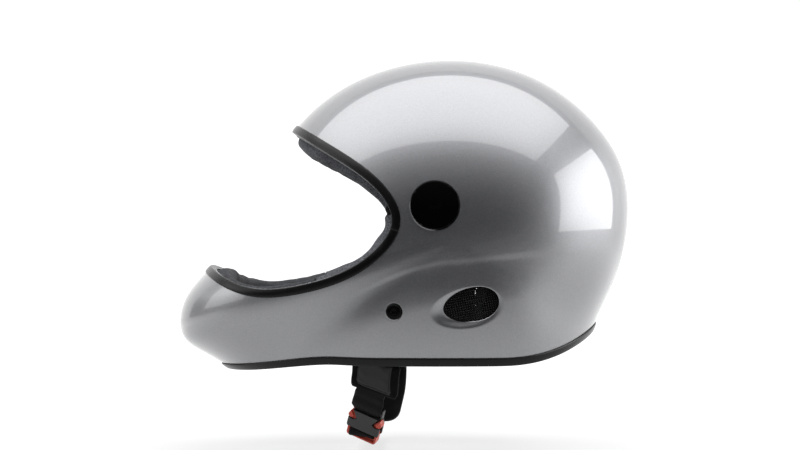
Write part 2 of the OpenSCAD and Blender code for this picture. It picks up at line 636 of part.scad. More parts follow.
// The plug: a frame with a crossbar for the webbing, a root strip in the socket and a tongue
frame_s = mouth_s + 0.4;
window_s = frame_s + 0.4;
window_l = plug_l - 1.8;
cross_s = window_s + window_l / 2;
prong_pivot_s = mouth_s - 2.4;
pin_r = 1.2;
module buckle_plug() {
    color("#c8402f") at_strap() difference() {
        union() {
            translate([-2.6, buckle_s + 8, -tongue_t / 2]) cube([5.2, socket_l - 8, tongue_t]);
            translate([1 - buckle_w / 2, prong_pivot_s - 0.45, -tongue_t / 2])
                cube([buckle_w - 2, frame_s + 0.2 - (prong_pivot_s - 0.45), tongue_t]);
            difference() {
                translate([0, 0, 0.6 - buckle_t / 2]) linear_extrude(buckle_t - 1.2) hull() {
                    translate([1 - buckle_w / 2, frame_s]) square([buckle_w - 2, 1]);
                    for (k = [-1, 1]) translate([k * (buckle_w / 2 - 3), frame_s + plug_l - 2]) circle(2);
                }
                web_slot(window_s, window_s + window_l, 0.4);
            }
            translate([-web_w / 2 - 1, cross_s - 0.6, -0.7]) cube([web_w + 2, 1.2, 1.4]);
        }
        for (k = [-1, 1]) translate([k * prong_x, prong_pivot_s, -buckle_t])
            cylinder(h = 2 * buckle_t, r = pin_r + 0.06);
    }
}
module prong(k) {
    reach = buckle_w / 2 + tab_out - prong_x;
    color("#c8402f") at_strap() {
        translate([k * prong_x, 0, -tongue_t / 2]) linear_extrude(tongue_t) polygon([
            [-k * prong_w / 2, prong_pivot_s - 0.95], [k * prong_w / 2, prong_pivot_s - 0.95],
            [k * prong_w / 2, tab_s + tab_l], [k * reach, tab_s + tab_l - 1],
            [k * reach, tab_s + 2.5], [k * prong_w / 2, prong_tip_s],
            [-k * prong_w / 2, prong_tip_s]]);
        translate([k * prong_x, prong_pivot_s, -tongue_t / 2]) cylinder(h = tongue_t, r = pin_r);
    }
}

// The slack webbing: looped round the plug's crossbar, then under the chin to the right strap
loop_in = 1.15;
module plug_loop() {
    translate([0.2 - web_w / 2, 0, 0]) rotate([90, 0, 90]) linear_extrude(web_w - 0.4) difference() {
        hull() {
            translate([cross_s, 0]) circle(loop_in + web_t);
            translate([cross_s - 0.75, 6]) square([1.5, 0.2]);
        }
        hull() {
            translate([cross_s, 0]) circle(loop_in);
            translate([cross_s - 0.2, 2.6]) square([0.4, 0.2]);
        }
    }
}
module chin_webbing() {
    down_far = [-down[0], down[1], down[2]];
    far = strap_o + down * (far_end - 5.5);
    a = strap_o + down * cross_s + thick * 5;
    b = [-far[0], far[1], far[2]];
    route = [a, a + 7 * thick, [28, a[1] + 4, b[2] - 10], [-6, b[1] + 3, b[2] - 13.5],
        [b[0] + 22, b[1] - 1, b[2] - 12.5], b + 8 * down_far, b];
    ctrl = concat([2 * route[0] - route[1]], route, [2 * route[6] - route[5]]);
    n = 24;
    flip = [-across[0], across[1], across[2]];
    rings = [for (i = [0 : n]) let (t = i / n, c = open_spline(ctrl, t),
        d = unit(open_spline(ctrl, t + 0.01) - open_spline(ctrl, t - 0.01)),
        near = ease(t * 2), beyond = ease(t * 2 - 1),
        w0 = [0, -1, 0] * (near - beyond) - across * (1 - near) - flip * beyond,
        w = unit(w0 - (w0 * d) * d), k = cross(d, w))
        [for (q = [[-1, -1], [1, -1], [1, 1], [-1, 1]]) c + q[0] * web_w / 2 * w + q[1] * web_t / 2 * k]];
    color("#17181a") union() {
        polyhedron([for (r = rings) each r],
            concat([for (i = [0 : n - 1]) for (j = [0 : 3])
                let (p = i * 4 + j, q = i * 4 + (j + 1) % 4) each [[p, q + 4, q], [p, p + 4, q + 4]]],
                [[0, 1, 2, 3], [for (j = [3 : -1 : 0]) n * 4 + j]]));
        at_strap() plug_loop();
    }
}

outer_shell();
face_trim();
rim_trim();
impact_liner();
chin_foam();
crown_pad();
brow_pad();
neck_roll();
cheek_pad_left();
cheek_pad_right();
chin_lining();
pivot_cap(1);  // pivot_cap_left
pivot_cap(-1);  // pivot_cap_right
pivot_insert(1);  // pivot_insert_left
pivot_insert(-1);  // pivot_insert_right
vent_mesh(1);  // vent_mesh_left
vent_mesh(-1);  // vent_mesh_right
anchor_rivet(1);  // anchor_rivet_left
anchor_rivet(-1);  // anchor_rivet_right
anchor_washers(1);  // anchor_washers_left
anchor_washers(-1);  // anchor_washers_right
hanger_plate(1);  // hanger_plate_left
hanger_plate(-1);  // hanger_plate_right
webbing_left();
webbing_right();
strap_pad_left();
strap_pad_right();
buckle_socket();
buckle_plug();
prong(-1);  // prong_front
prong(1);  // prong_rear
chin_webbing();
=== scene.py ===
"""Looks of a full face sport helmet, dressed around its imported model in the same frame.

Lengths in the classes are millimetres, as in the part's source; meshes are written in metres.
The wearer faces -Y, +X is the wearer's left and +Z is up.
"""

import json
import logging
import math
from dataclasses import dataclass, field, replace
from enum import Enum
from typing import Callable, Sequence

import bmesh
import bpy
import numpy as np
from mathutils import Matrix, Vector
from mathutils.geometry import delaunay_2d_cdt

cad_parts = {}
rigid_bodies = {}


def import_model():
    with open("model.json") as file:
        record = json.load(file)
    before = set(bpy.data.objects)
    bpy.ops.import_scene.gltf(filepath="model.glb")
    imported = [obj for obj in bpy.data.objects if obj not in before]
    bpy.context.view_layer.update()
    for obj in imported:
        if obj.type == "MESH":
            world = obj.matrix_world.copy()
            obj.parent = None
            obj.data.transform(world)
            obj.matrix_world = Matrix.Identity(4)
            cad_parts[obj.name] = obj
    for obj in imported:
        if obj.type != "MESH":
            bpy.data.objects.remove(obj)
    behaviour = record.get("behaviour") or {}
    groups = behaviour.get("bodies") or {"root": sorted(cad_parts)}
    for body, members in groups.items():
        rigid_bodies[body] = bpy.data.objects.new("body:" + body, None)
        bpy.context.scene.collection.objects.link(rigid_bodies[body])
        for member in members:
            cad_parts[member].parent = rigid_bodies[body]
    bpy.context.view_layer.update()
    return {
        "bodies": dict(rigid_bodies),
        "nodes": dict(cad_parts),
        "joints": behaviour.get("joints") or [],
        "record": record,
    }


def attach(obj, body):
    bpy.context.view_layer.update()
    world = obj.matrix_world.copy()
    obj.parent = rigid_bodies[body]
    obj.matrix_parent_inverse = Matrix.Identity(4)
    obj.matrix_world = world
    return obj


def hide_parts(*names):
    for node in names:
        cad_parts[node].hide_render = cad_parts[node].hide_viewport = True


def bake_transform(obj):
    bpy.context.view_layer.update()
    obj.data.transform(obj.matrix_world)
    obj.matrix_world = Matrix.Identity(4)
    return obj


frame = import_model()

log = logging.getLogger("helmet")
Array = np.ndarray
Face = tuple[int, ...]
Outline = Sequence[Sequence[float]]
Pair = tuple[float, float]
Place = Callable[[Array], Array]
Piece = bpy.types.Object
Material = bpy.types.Material
Socket = bpy.types.NodeSocket
MM = 0.001


# Numbers and curves

def ease(t: Array | float) -> Array:
    """Smooth step of t from 0 to 1, held at its ends."""
    k = np.clip(t, 0.0, 1.0)
    return k * k * (3.0 - 2.0 * k)


def unit(v: Array) -> Array:
    """The vectors of the last axis, each at length 1."""
    v = np.asarray(v, float)
    return v / np.maximum(np.linalg.norm(v, axis=-1, keepdims=True), 1e-12)


def full_turn(count: int) -> Array:
    """Even angles of a full turn, without its end."""
    return np.linspace(0, 2 * np.pi, count, endpoint=False)


def crowded(count: int) -> Array:
    """Shares from 0 to 1 that lie closer at both ends."""
    return (1 - np.cos(np.linspace(0, np.pi, count))) / 2


def swing(count: int) -> Array:
    """Shares from -1 to 1 that lie closer at both ends."""
    return np.sin(np.linspace(-np.pi / 2, np.pi / 2, count))


def open_spline(control: Array, t: Array) -> Array:
    """Places on an open uniform cubic spline.

    Args:
        control: Control points, one row each.
        t: Shares of its length, from 0 to 1.

    Returns:
        One place for each t.
    """
    spans = len(control) - 3
    s = np.clip(t, 0.0, 1.0) * spans
    i = np.minimum(np.floor(s).astype(int), spans - 1)
    w = np.asarray(s - i)[..., None]
    a, b, c, d = (control[i + k] for k in range(4))
    return ((1 - w) ** 3 * a + (3 * w**3 - 6 * w * w + 4) * b
            + (-3 * w**3 + 3 * w * w + 3 * w + 1) * c + w**3 * d) / 6.0


def through(points: Outline, count: int) -> Array:
    """A smooth line of count places that starts and ends at the first and last of the points.

    Args:
        points: Places that guide it.
        count: Number of places.

    Returns:
        The line.
    """
    p = np.asarray(points, float)
    control = np.vstack([2 * p[0] - p[1], p, 2 * p[-1] - p[-2]])
    return open_spline(control, np.linspace(0, 1, count))


def crown(t: Array | float, low: float = 0.35) -> Array:
    """Rounding of a cushion along its length: 1 in the middle, low at both ends."""
    return low + (1 - low) * np.sqrt(np.maximum(0.0, 1 - np.abs(2 * np.asarray(t) - 1) ** 3))


def quilt(t: Array | float, panels: int, deep: float = 0.3) -> Array:
    """Share of its height that a quilted cushion keeps across its panels."""
    return 1 - deep * np.abs(np.cos(np.pi * panels * np.asarray(t))) ** 12


def corner_cut(outline: Array, rounds: int) -> Array:
    """A closed outline with its corners cut again and again, so that it becomes smooth.

    Args:
        outline: Its corners, along the first axis.
        rounds: How often they are cut.

    Returns:
        The smooth outline.
    """
    for _ in range(rounds):
        after = np.roll(outline, -1, axis=0)
        outline = np.stack([0.75 * outline + 0.25 * after, 0.25 * outline + 0.75 * after], 1)
        outline = outline.reshape(-1, *outline.shape[2:])
    return outline


def soft_noise(places: Array, size: float, seed: int) -> Array:
    """A smooth seeded wave field, about -1 to 1, for the unevenness of soft pieces.

    Args:
        places: Points in millimetres.
        size: Typical distance between two bulges, in millimetres.
        seed: Number that picks the field.

    Returns:
        One value for each point.
    """
    draw = np.random.default_rng(seed)
    total = np.zeros(places.shape[:-1])
    for _ in range(7):
        way = unit(draw.normal(size=3)) * (2 * np.pi / size) * draw.uniform(0.6, 1.5)
        total = total + np.sin(places @ way + draw.uniform(0, 2 * np.pi))
    return total / 3.2


def round_ends(outlines: Array, near: Array) -> Array:
    """Draws a roll's outlines in at its ends.

    Args:
        outlines: One closed outline for each ring.
        near: Distance of each ring from the nearer end, 1 where the rounding starts.

    Returns:
        The outlines, drawn in.
    """
    middle = outlines.mean(1, keepdims=True)
    shrink = np.where(near < 1, np.sqrt(np.maximum(0.0, 1 - (1 - near) ** 2)), 1.0)
    return middle + (outlines - middle) * np.maximum(shrink, 0.05)[:, None, None]


def uneven(rings: Array, high: float, size: float, seed: int) -> Array:
    """Gives a soft piece's rings their unevenness.

    Args:
        rings: Its rings.
        high: Height of the bulges in millimetres.
        size: Typical distance between two bulges.
        seed: Number that picks them.

    Returns:
        The rings, pulled in where there is no bulge.
    """
    pull = (high * soft_noise(rings, size, seed) - high)[..., None]
    return rings + unit(rings - rings.mean(1, keepdims=True)) * pull


class Side(Enum):
    """A side of the helmet, as the wearer names it. Its value is the sign of X."""

    LEFT = 1
    RIGHT = -1

    @property
    def word(self) -> str:
        """The side in the names of pieces and nodes."""
        return self.name.lower()


# Meshes

@dataclass
class Form:
    """Vertices in millimetres and faces of a piece that is being put together."""

    verts: list[Array] = field(default_factory=list)
    faces: list[Face] = field(default_factory=list)
    lay: list[Array] = field(default_factory=list)
    count: int = 0

    def add(self, verts: Array, faces: Sequence[Face], lay: Array | None = None) -> "Form":
        """Joins more vertices and their faces on, with their places on the cloth if they have them.

        Args:
            verts: The vertices.
            faces: Faces, by the vertices' numbers.
            lay: Places on the cloth.

        Returns:
            The same form.
        """
        verts = np.asarray(verts, float).reshape(-1, 3)
        self.verts.append(verts)
        self.lay.append(np.zeros((len(verts), 3)) if lay is None else np.asarray(lay, float).reshape(-1, 3))
        self.faces += [tuple(int(v) + self.count for v in f) for f in faces]
        self.count += len(verts)
        return self

    def loft(self, rings: Array, loop: bool = False, ends: bool = True, ring_closed: bool = True,
             lay: Array | None = None) -> "Form":
        """Joins a surface over rings of places on.

        Args:
            rings: Rings, places in a ring, and coordinates.
            loop: Whether the last ring joins the first.
            ends: Whether open ends get a fan of faces.
            ring_closed: Whether the last place of a ring joins its first.
            lay: Places on the cloth, one for each vertex.

        Returns:
            The same form.
        """
        n, m = rings.shape[:2]
        verts = rings.reshape(-1, 3)
        faces: list[Face] = []
        for i in range(n if loop else n - 1):
            a, b = i * m, ((i + 1) % n) * m
            for j in range(m if ring_closed else m - 1):
                k = (j + 1) % m
                faces.append((a + j, a + k, b + k, b + j))
        if ends and not loop:
            verts = np.vstack([verts, rings[0].mean(0), rings[-1].mean(0)])
            if lay is not None:
                lay = np.vstack([lay, lay[0], lay[-1]])
            for j in range(m):
                k = (j + 1) % m
                faces.append((n * m, k, j))
                faces.append((n * m + 1, (n - 1) * m + j, (n - 1) * m + k))
        return self.add(verts, faces, lay)

    def tube(self, path: Array, radius: float, sides: int = 8, loop: bool = False) -> "Form":
        """Joins a round tube along a path on.

        Args:
            path: Its middle line.
            radius: Its radius.
            sides: Faces around.
            loop: Whether its ends join.

        Returns:
            The same form.
        """
        way = unit(np.roll(path, -1, 0) - np.roll(path, 1, 0)) if loop else unit(np.gradient(path, axis=0))
        side = unit(np.cross(way[0], (0.3, 0.5, 0.8)))
        rings = []
        turn = full_turn(sides)[:, None]
        for p, w in zip(path, way):
            side = unit(side - (side @ w) * w)
            rings.append(p + radius * (np.cos(turn) * side + np.sin(turn) * np.cross(w, side)))
        return self.loft(np.array(rings), loop=loop)

    def stitches(self, path: Array, pitch: float, width: float, gap: float = 0.35) -> "Form":
        """Joins a row of short thread runs along a path on.

        Args:
            path: The seam.
            pitch: Length from one run to the next.
            width: Thickness of the thread.
            gap: Share of the pitch without thread.

        Returns:
            The same form.
        """
        step = np.linalg.norm(np.diff(path, axis=0), axis=1)
        along = np.concatenate([[0.0], np.cumsum(step)])
        for start in np.arange(0.5 * pitch, along[-1] - pitch, pitch):
            at = np.linspace(start, start + pitch * (1 - gap), 5)
            run = np.stack([np.interp(at, along, path[:, c]) for c in range(3)], 1)
            self.tube(run, width / 2, 5)
        return self

    def turned(self, profile: Outline, place: Place, segments: int = 96,
               radius_of: Callable[[Array, Array], Array] | None = None) -> "Form":
        """Joins a turned form on.

        Args:
            profile: Pairs of radius and height, from one end of the axis to the other.
            place: Puts local points, with the axis along z, into the helmet's frame.
            segments: Faces around.
            radius_of: Changes the radii by angle, for notches.

        Returns:
            The same form.
        """
        p = np.asarray(profile, float)
        angle = full_turn(segments)
        radius = np.repeat(p[:, :1], segments, 1)
        if radius_of is not None:
            radius = radius_of(radius, angle)
        height = np.repeat(p[:, 1:], segments, 1)
        rings = np.stack([radius * np.cos(angle), radius * np.sin(angle), height], -1)
        return self.loft(place(rings.reshape(-1, 3)).reshape(rings.shape))

    def flipped(self) -> "Form":
        """The same form on the other side of the helmet.

        Returns:
            The flipped form.
        """
        other = Form()
        verts = np.vstack(self.verts) * (-1, 1, 1)
        return other.add(verts, [tuple(reversed(f)) for f in self.faces], np.vstack(self.lay))

    def on(self, side: Side) -> "Form":
        """The form of the left side, put on the wanted side."""
        return self if side is Side.LEFT else self.flipped()

    def piece(self, name: str, material: Material, normals: Array | None = None) -> Piece:
        """Writes the form as a smooth-shaded object.

        Args:
            name: Name of the new object.
            material: Its finish.
            normals: Normals of the vertices, zero where the mesh's own are kept.

        Returns:
            The object, linked to the scene.
        """
        mesh = bpy.data.meshes.new(name)
        mesh.from_pydata((np.vstack(self.verts) * MM).tolist(), [], self.faces)
        lay = np.vstack(self.lay)
        if lay.any():
            held = mesh.attributes.new("lay", "FLOAT_VECTOR", "POINT")
            held.data.foreach_set("vector", (lay * MM).astype(np.float32).ravel())
        work = bmesh.new()
        work.from_mesh(mesh)
        bmesh.ops.recalc_face_normals(work, faces=work.faces)
        work.to_mesh(mesh)
        work.free()
        mesh.polygons.foreach_set("use_smooth", np.ones(len(mesh.polygons), bool))
        mesh.materials.append(material)
        mesh.update()
        if normals is not None:
            mesh.normals_split_custom_set_from_vertices(normals.tolist())
        made = bpy.data.objects.new(name, mesh)
        bpy.context.scene.collection.objects.link(made)
        return made


def settle(made: Piece) -> Piece:
    """Applies an object's modifiers to its mesh.

    Args:
        made: The object.

    Returns:
        The same object.
    """
    graph = bpy.context.evaluated_depsgraph_get()
    mesh = bpy.data.meshes.new_from_object(made.evaluated_get(graph), depsgraph=graph)
    made.modifiers.clear()
    made.data = mesh
    return made


@dataclass(frozen=True)
class Air:
    """A short cloth simulation that fills a cushion with air."""

    faces: float = 4.0
    cap: float = 1.8
    pressure: float = 4.0
    mass: float = 0.15
    quality: int = 5
    last: int = 20

    def fill(self, made: Piece) -> Piece:
        """Fills a cushion, before it rides on its body.

        Args:
            made: The cushion.

        Returns:
            The same cushion. No place has moved further than the cap.
        """
        scene = bpy.context.scene
        faces = made.modifiers.new("cloth_faces", "REMESH")
        faces.mode, faces.voxel_size = "VOXEL", self.faces * MM
        settle(made)
        rest = np.empty(len(made.data.vertices) * 3)
        made.data.vertices.foreach_get("co", rest)
        air = made.modifiers.new("air", "CLOTH")
        air.settings.quality, air.settings.mass = self.quality, self.mass
        air.settings.effector_weights.gravity = 0.0
        air.settings.use_pressure, air.settings.uniform_pressure_force = True, self.pressure
        air.collision_settings.use_collision = False
        air.point_cache.frame_start, air.point_cache.frame_end = 1, self.last
        for number in range(1, self.last + 1):
            scene.frame_set(number)
        full = made.evaluated_get(bpy.context.evaluated_depsgraph_get()).to_mesh()
        now = np.empty_like(rest)
        full.vertices.foreach_get("co", now)
        moved = (now - rest).reshape(-1, 3)
        far = np.linalg.norm(moved, axis=1, keepdims=True)
        moved *= np.minimum(1.0, self.cap * MM / np.maximum(far, 1e-9))
        made.modifiers.clear()
        scene.frame_set(1)
        made.data.vertices.foreach_set("co", rest + moved.ravel())
        finer = made.modifiers.new("finer", "SUBSURF")
        finer.levels = finer.render_levels = 1
        settle(made)
        made.data.polygons.foreach_set("use_smooth", np.ones(len(made.data.polygons), bool))
        log.info("%s is filled, before the cap its places moved up to %.1f mm", made.name,
                 float(far.max()) / MM)
        return made


def prism(outline: Outline, low: float, high: float, place: Place) -> Form:
    """A straight prism over a flat outline, put in place.

    Args:
        outline: Pairs across it.
        low: Its first end.
        high: Its last end.
        place: Puts local points into the helmet's frame.

    Returns:
        The prism.
    """
    o = np.asarray(outline, float)
    rings = np.stack([np.column_stack([o, np.full(len(o), z)]) for z in (low, high)])
    form = Form()
    n = len(o)
    faces: list[Face] = [(j, (j + 1) % n, n + (j + 1) % n, n + j) for j in range(n)]
    faces += [tuple(range(n - 1, -1, -1)), tuple(range(n, 2 * n))]
    return form.add(place(rings.reshape(-1, 3)), faces)


def block(x: Pair, y: Pair, z: Pair,
          place: Place) -> Form:
    """A box between the given limits, put in place."""
    return prism([(x[0], y[0]), (x[1], y[0]), (x[1], y[1]), (x[0], y[1])], z[0], z[1], place)


def rounded(x: Pair, y: Pair, radius: float, steps: int = 6) -> list[Pair]:
    """Outline of a rectangle with round corners.

    Args:
        x: Its limits one way.
        y: Its limits the other way.
        radius: Radius of its corners.
        steps: Parts of each corner.

    Returns:
        The outline.
    """
    out = []
    for cx, cy, start in ((x[1] - radius, y[0] + radius, -90), (x[1] - radius, y[1] - radius, 0),
                          (x[0] + radius, y[1] - radius, 90), (x[0] + radius, y[0] + radius, 180)):
        for k in range(steps + 1):
            a = math.radians(start + 90 * k / steps)
            out.append((cx + radius * math.cos(a), cy + radius * math.sin(a)))
    return out


def machined(name: str, body: Form, added: Sequence[Form], cut: Sequence[Form], material: Material,
             edge: float) -> Piece:
    """A moulded or cut piece: a body, what is joined to it, what is cut from it, and rounded edges.

    Args:
        name: Name of the new object.
        body: The first solid.
        added: Solids that are joined to it.
        cut: Solids that are cut from it.
        material: Its finish.
        edge: Rounding of the edges in millimetres.

    Returns:
        The finished object.
    """
    made = body.piece(name, material)
    for forms, action in ((added, "UNION"), (cut, "DIFFERENCE")):
        for form in forms:
            tool = form.piece(name + "_tool", material)
            change = made.modifiers.new("shape", "BOOLEAN")
            change.operation, change.solver, change.object = action, "EXACT", tool
            settle(made)
            bpy.data.objects.remove(tool)
    soften = made.modifiers.new("edge", "BEVEL")
    soften.width, soften.segments, soften.limit_method = edge * MM, 3, "ANGLE"
    soften.angle_limit = math.radians(32)
    soften.use_clamp_overlap, soften.miter_outer = True, "MITER_ARC"
    level = made.modifiers.new("level", "WEIGHTED_NORMAL")
    level.keep_sharp = True
    settle(made)
    made.data.polygons.foreach_set("use_smooth", np.ones(len(made.data.polygons), bool))
    return made


# The skin that everything on the shell follows

@dataclass
class Skin:
    """The helmet's smooth outer skin between the edge of the face port and the edge of the rim.

    A place on it is a turn (0 crown, 1 chin bar, 2 crown again, left side first) and a run
    (0 at the port, 1 at the rim), or a place (y, z) of the side view.
    """

    half_width: float = 125.0
    squareness: float = 2.1
    pole: Pair = (10.0, 93.0)
    brow_angle: float = 145.6
    chin_top_angle: float = 186.4
    nape_rise: float = 24.5
    nape_start: float = 40.0
    chin_dip: float = 5.7
    bead: float = 2.8
    jaw_step: float = -0.3
    jaw_fade: float = 5.0
    jaw_bulge: float = 2.4
    jaw_reach: float = 32.0
    profile: tuple[Pair, ...] = (
        (148, 95), (148, 156), (101, 208), (49, 232), (-12, 236), (-73, 218), (-115, 182), (-135, 145),
        (-160, 110), (-160.5, 89.5), (-193, 59.5), (-204, 40), (-204, 15), (-185.5, 6), (-152, -13.5),
        (-146, -44), (-81, -79), (-11, -93), (58, -80), (105, -38), (117, 25), (134, 53))
    port: tuple[Pair, ...] = (
        (-87.3, 161.2), (-59.7, 143.9), (-41.6, 126.9), (-33, 108), (-41.5, 89.9), (-66.1, 69.5),
        (-101, 58.4), (-136.8, 53), (-162.2, 61.1))

    def __post_init__(self) -> None:
        """Tabulates the profile's reach by angle and finds where the rim crosses it."""
        c = np.asarray(self.profile, float)
        closed = np.vstack([c[-1], c, c[0], c[1]])
        at = open_spline(closed, np.linspace(0, 1, 160 * len(c), endpoint=False)) - self.pole
        angle = np.degrees(np.arctan2(at[:, 1], at[:, 0])) % 360
        order = np.argsort(angle)
        self._angles, self._reach = angle[order], np.linalg.norm(at, axis=1)[order]
        low = np.arange(-55, -20, 0.25)
        nape_angle = np.interp(self.nape_rise, self.profile_at(low)[:, 1], low)
        low = np.arange(202, 216, 0.25)
        chin_angle = np.interp(self.chin_dip, -self.profile_at(low)[:, 1], low)
        self._nape_angle, self._chin_angle = float(nape_angle), float(chin_angle)
        self._nape, self._chin = self.profile_at(self._nape_angle), self.profile_at(self._chin_angle)
        line = np.vstack([self.profile_at(self.brow_angle), np.asarray(self.port),
                          self.profile_at(self.chin_top_angle)])
        self._port = np.vstack([2 * line[0] - line[1], line, 2 * line[-1] - line[-2]])

    def profile_at(self, angle: Array | float) -> Array:
        """Places of the closed side outline at angles about the widest point.

        Args:
            angle: Degrees from +Y towards +Z.

        Returns:
            One pair (y, z) for each angle.
        """
        a = np.asarray(angle, float)
        reach = np.interp(a % 360, self._angles, self._reach, period=360)
        return np.asarray(self.pole) + reach[..., None] * np.stack(
            [np.cos(np.radians(a)), np.sin(np.radians(a))], -1)

    def _rim(self, u: Array) -> Array:
        """Places of the rim's edge in the side view.

        Args:
            u: Shares from the nape to the chin.

        Returns:
            One pair (y, z) for each share.
        """
        y = self._nape[0] + (self._chin[0] - self._nape[0]) * u
        back = np.maximum(0.0, (y - self.nape_start) / (self._nape[0] - self.nape_start)) ** 2.35
        front = ease((y + 78) / (self._chin[0] + 78))
        z = self.bead + (self._nape[1] - self.bead) * back + (self._chin[1] - self.bead) * front
        return np.stack([y, z], -1)

    def _rib(self, u: Array, v: Array) -> Array:
        """A line from the port's edge to the rim's edge, before its ends meet the profile.

        Args:
            u: Shares of the port's edge.
            v: Runs from the port to the rim.

        Returns:
            One pair (y, z) for each.
        """
        a, b, e = open_spline(self._port, u), self._rim(u), 0.002
        d = unit(open_spline(self._port, np.minimum(u + e, 1))
                 - open_spline(self._port, np.maximum(u - e, 0)))
        reach = (np.linalg.norm(a - b, axis=-1) * (1 + 0.8 * (1 - u) ** 2))[..., None]
        m0 = reach * np.stack([-d[..., 1], d[..., 0]], -1)
        m1 = reach * np.array([0.0, -1.0])
        w = v[..., None]
        return ((2 * w**3 - 3 * w * w + 1) * a + (w**3 - 2 * w * w + w) * m0
                + (3 * w * w - 2 * w**3) * b + (w**3 - w * w) * m1)

    def side_view(self, u: Array, v: Array) -> Array:
        """Places (y, z) of the side view at shares u along the port and runs v.

        Args:
            u: Shares of the port's edge.
            v: Runs from the port to the rim.

        Returns:
            One pair (y, z) for each.
        """
        u, v = np.broadcast_arrays(np.asarray(u, float), np.asarray(v, float))
        zero, one = np.zeros_like(u), np.ones_like(u)
        brow, chin = self.brow_angle, self.chin_top_angle
        top = self.profile_at(brow + (self._nape_angle - brow) * v) - self._rib(zero, v)
        low = self.profile_at(chin + (self._chin_angle - chin) * v) - self._rib(one, v)
        return self._rib(u, v) + ((1 - u) ** 4)[..., None] * top + (u**4)[..., None] * low

    def _level(self, p: Array) -> Array:
        """Share of the profile's reach at side-view places, to the power of the squareness.

        Args:
            p: The places.

        Returns:
            0 at the widest point, 1 on the profile.
        """
        d = p - self.pole
        angle = np.degrees(np.arctan2(d[..., 1], d[..., 0]))
        reach = np.interp(angle % 360, self._angles, self._reach, period=360)
        return (np.linalg.norm(d, axis=-1) / reach) ** self.squareness

    def _swelling(self, p: Array) -> Array:
        """The jaw's bulge at side-view places.

        Args:
            p: The places.

        Returns:
            Its height over the skin.
        """
        y, z = p[..., 0], p[..., 1]
        ridge = 77 + 6 * ease((y + 10) / 90) - 20 * (np.maximum(0.0, 3 - y) / 60) ** 1.5
        step = self.jaw_step * ease((ridge - z) / self.jaw_fade + 0.5) * ease((y + 80) / 45)
        broad = self.jaw_bulge * ease((ridge - z) / self.jaw_reach) * ease((y + 92) / 45)
        return (step + broad) * ease((112 - y) / 60)

    def raised(self, p: Array, depth: Array | float = 0.0) -> Array:
        """Points on the left half over side-view places, at a depth under the skin.

        Args:
            p: The places.
            depth: Depth under the skin.

        Returns:
            One point for each place.
        """
        p = np.asarray(p, float)
        share = np.minimum(self._level(p), 1.0)
        x = self.half_width * np.maximum(0.0, 1 - share) ** (1 / self.squareness)
        e = 0.8
        step_y, step_z = np.array([e, 0.0]), np.array([0.0, e])
        n = unit(np.stack([
            self.squareness * (x / self.half_width) ** (self.squareness - 1) / self.half_width,
            (self._level(p + step_y) - self._level(p - step_y)) / (2 * e),
            (self._level(p + step_z) - self._level(p - step_z)) / (2 * e)], -1))
        return np.concatenate([x[..., None], p], -1) + (self._swelling(p) - depth)[..., None] * n

    def place(self, turn: Array | float, run: Array | float, depth: Array | float = 0.0) -> Array:
        """Points at turns, runs and depths under the skin, on both sides.

        Args:
            turn: The turns.
            run: The runs.
            depth: The depths.

        Returns:
            The points.
        """
        turn, run, depth = np.broadcast_arrays(*(np.asarray(a, float) for a in (turn, run, depth)))
        g = turn % 2.0
        q = self.raised(self.side_view((1 - np.cos(np.pi * g)) / 2, run), depth)
        middle = (np.abs(g) < 1e-9) | (np.abs(g - 1) < 1e-9)
        q[..., 0] = np.where(middle, 0.0, np.where(g > 1, -q[..., 0], q[..., 0]))
        return q

    def from_port(self, turn: Array | float, mm: Array | float) -> Array:
        """The runs that lie a length from the port's edge."""
        return 0.02 * mm / np.linalg.norm(self.place(turn, 0.02) - self.place(turn, 0.0), axis=-1)

    def from_rim(self, turn: Array | float, mm: Array | float) -> Array:
        """The runs that lie a length from the rim's edge."""
        return 1 - 0.02 * mm / np.linalg.norm(self.place(turn, 1.0) - self.place(turn, 0.98), axis=-1)

    def over(self, centre: Array, first: Array, second: Array, outline: Array) -> Array:
        """Side-view places whose points on the skin lie on an outline seen along an axis.

        Args:
            centre: A point on the axis.
            first: First direction across the axis.
            second: Second direction across the axis.
            outline: Pairs along these directions.

        Returns:
            One side-view place for each pair.
        """
        p = centre[1:] + outline @ np.array([first[1:], second[1:]])
        for _ in range(8):
            q = self.raised(p) - centre
            miss = outline - np.stack([q @ first, q @ second], -1)
            p = p + miss @ np.array([first[1:], second[1:]])
        return p


SKIN = Skin()


def turn_of(share: float) -> float:
    """The turn at which a rib starts its share of the port's edge."""
    return math.acos(1 - 2 * share) / math.pi


# Finishes

Value = float | Sequence[float] | Socket


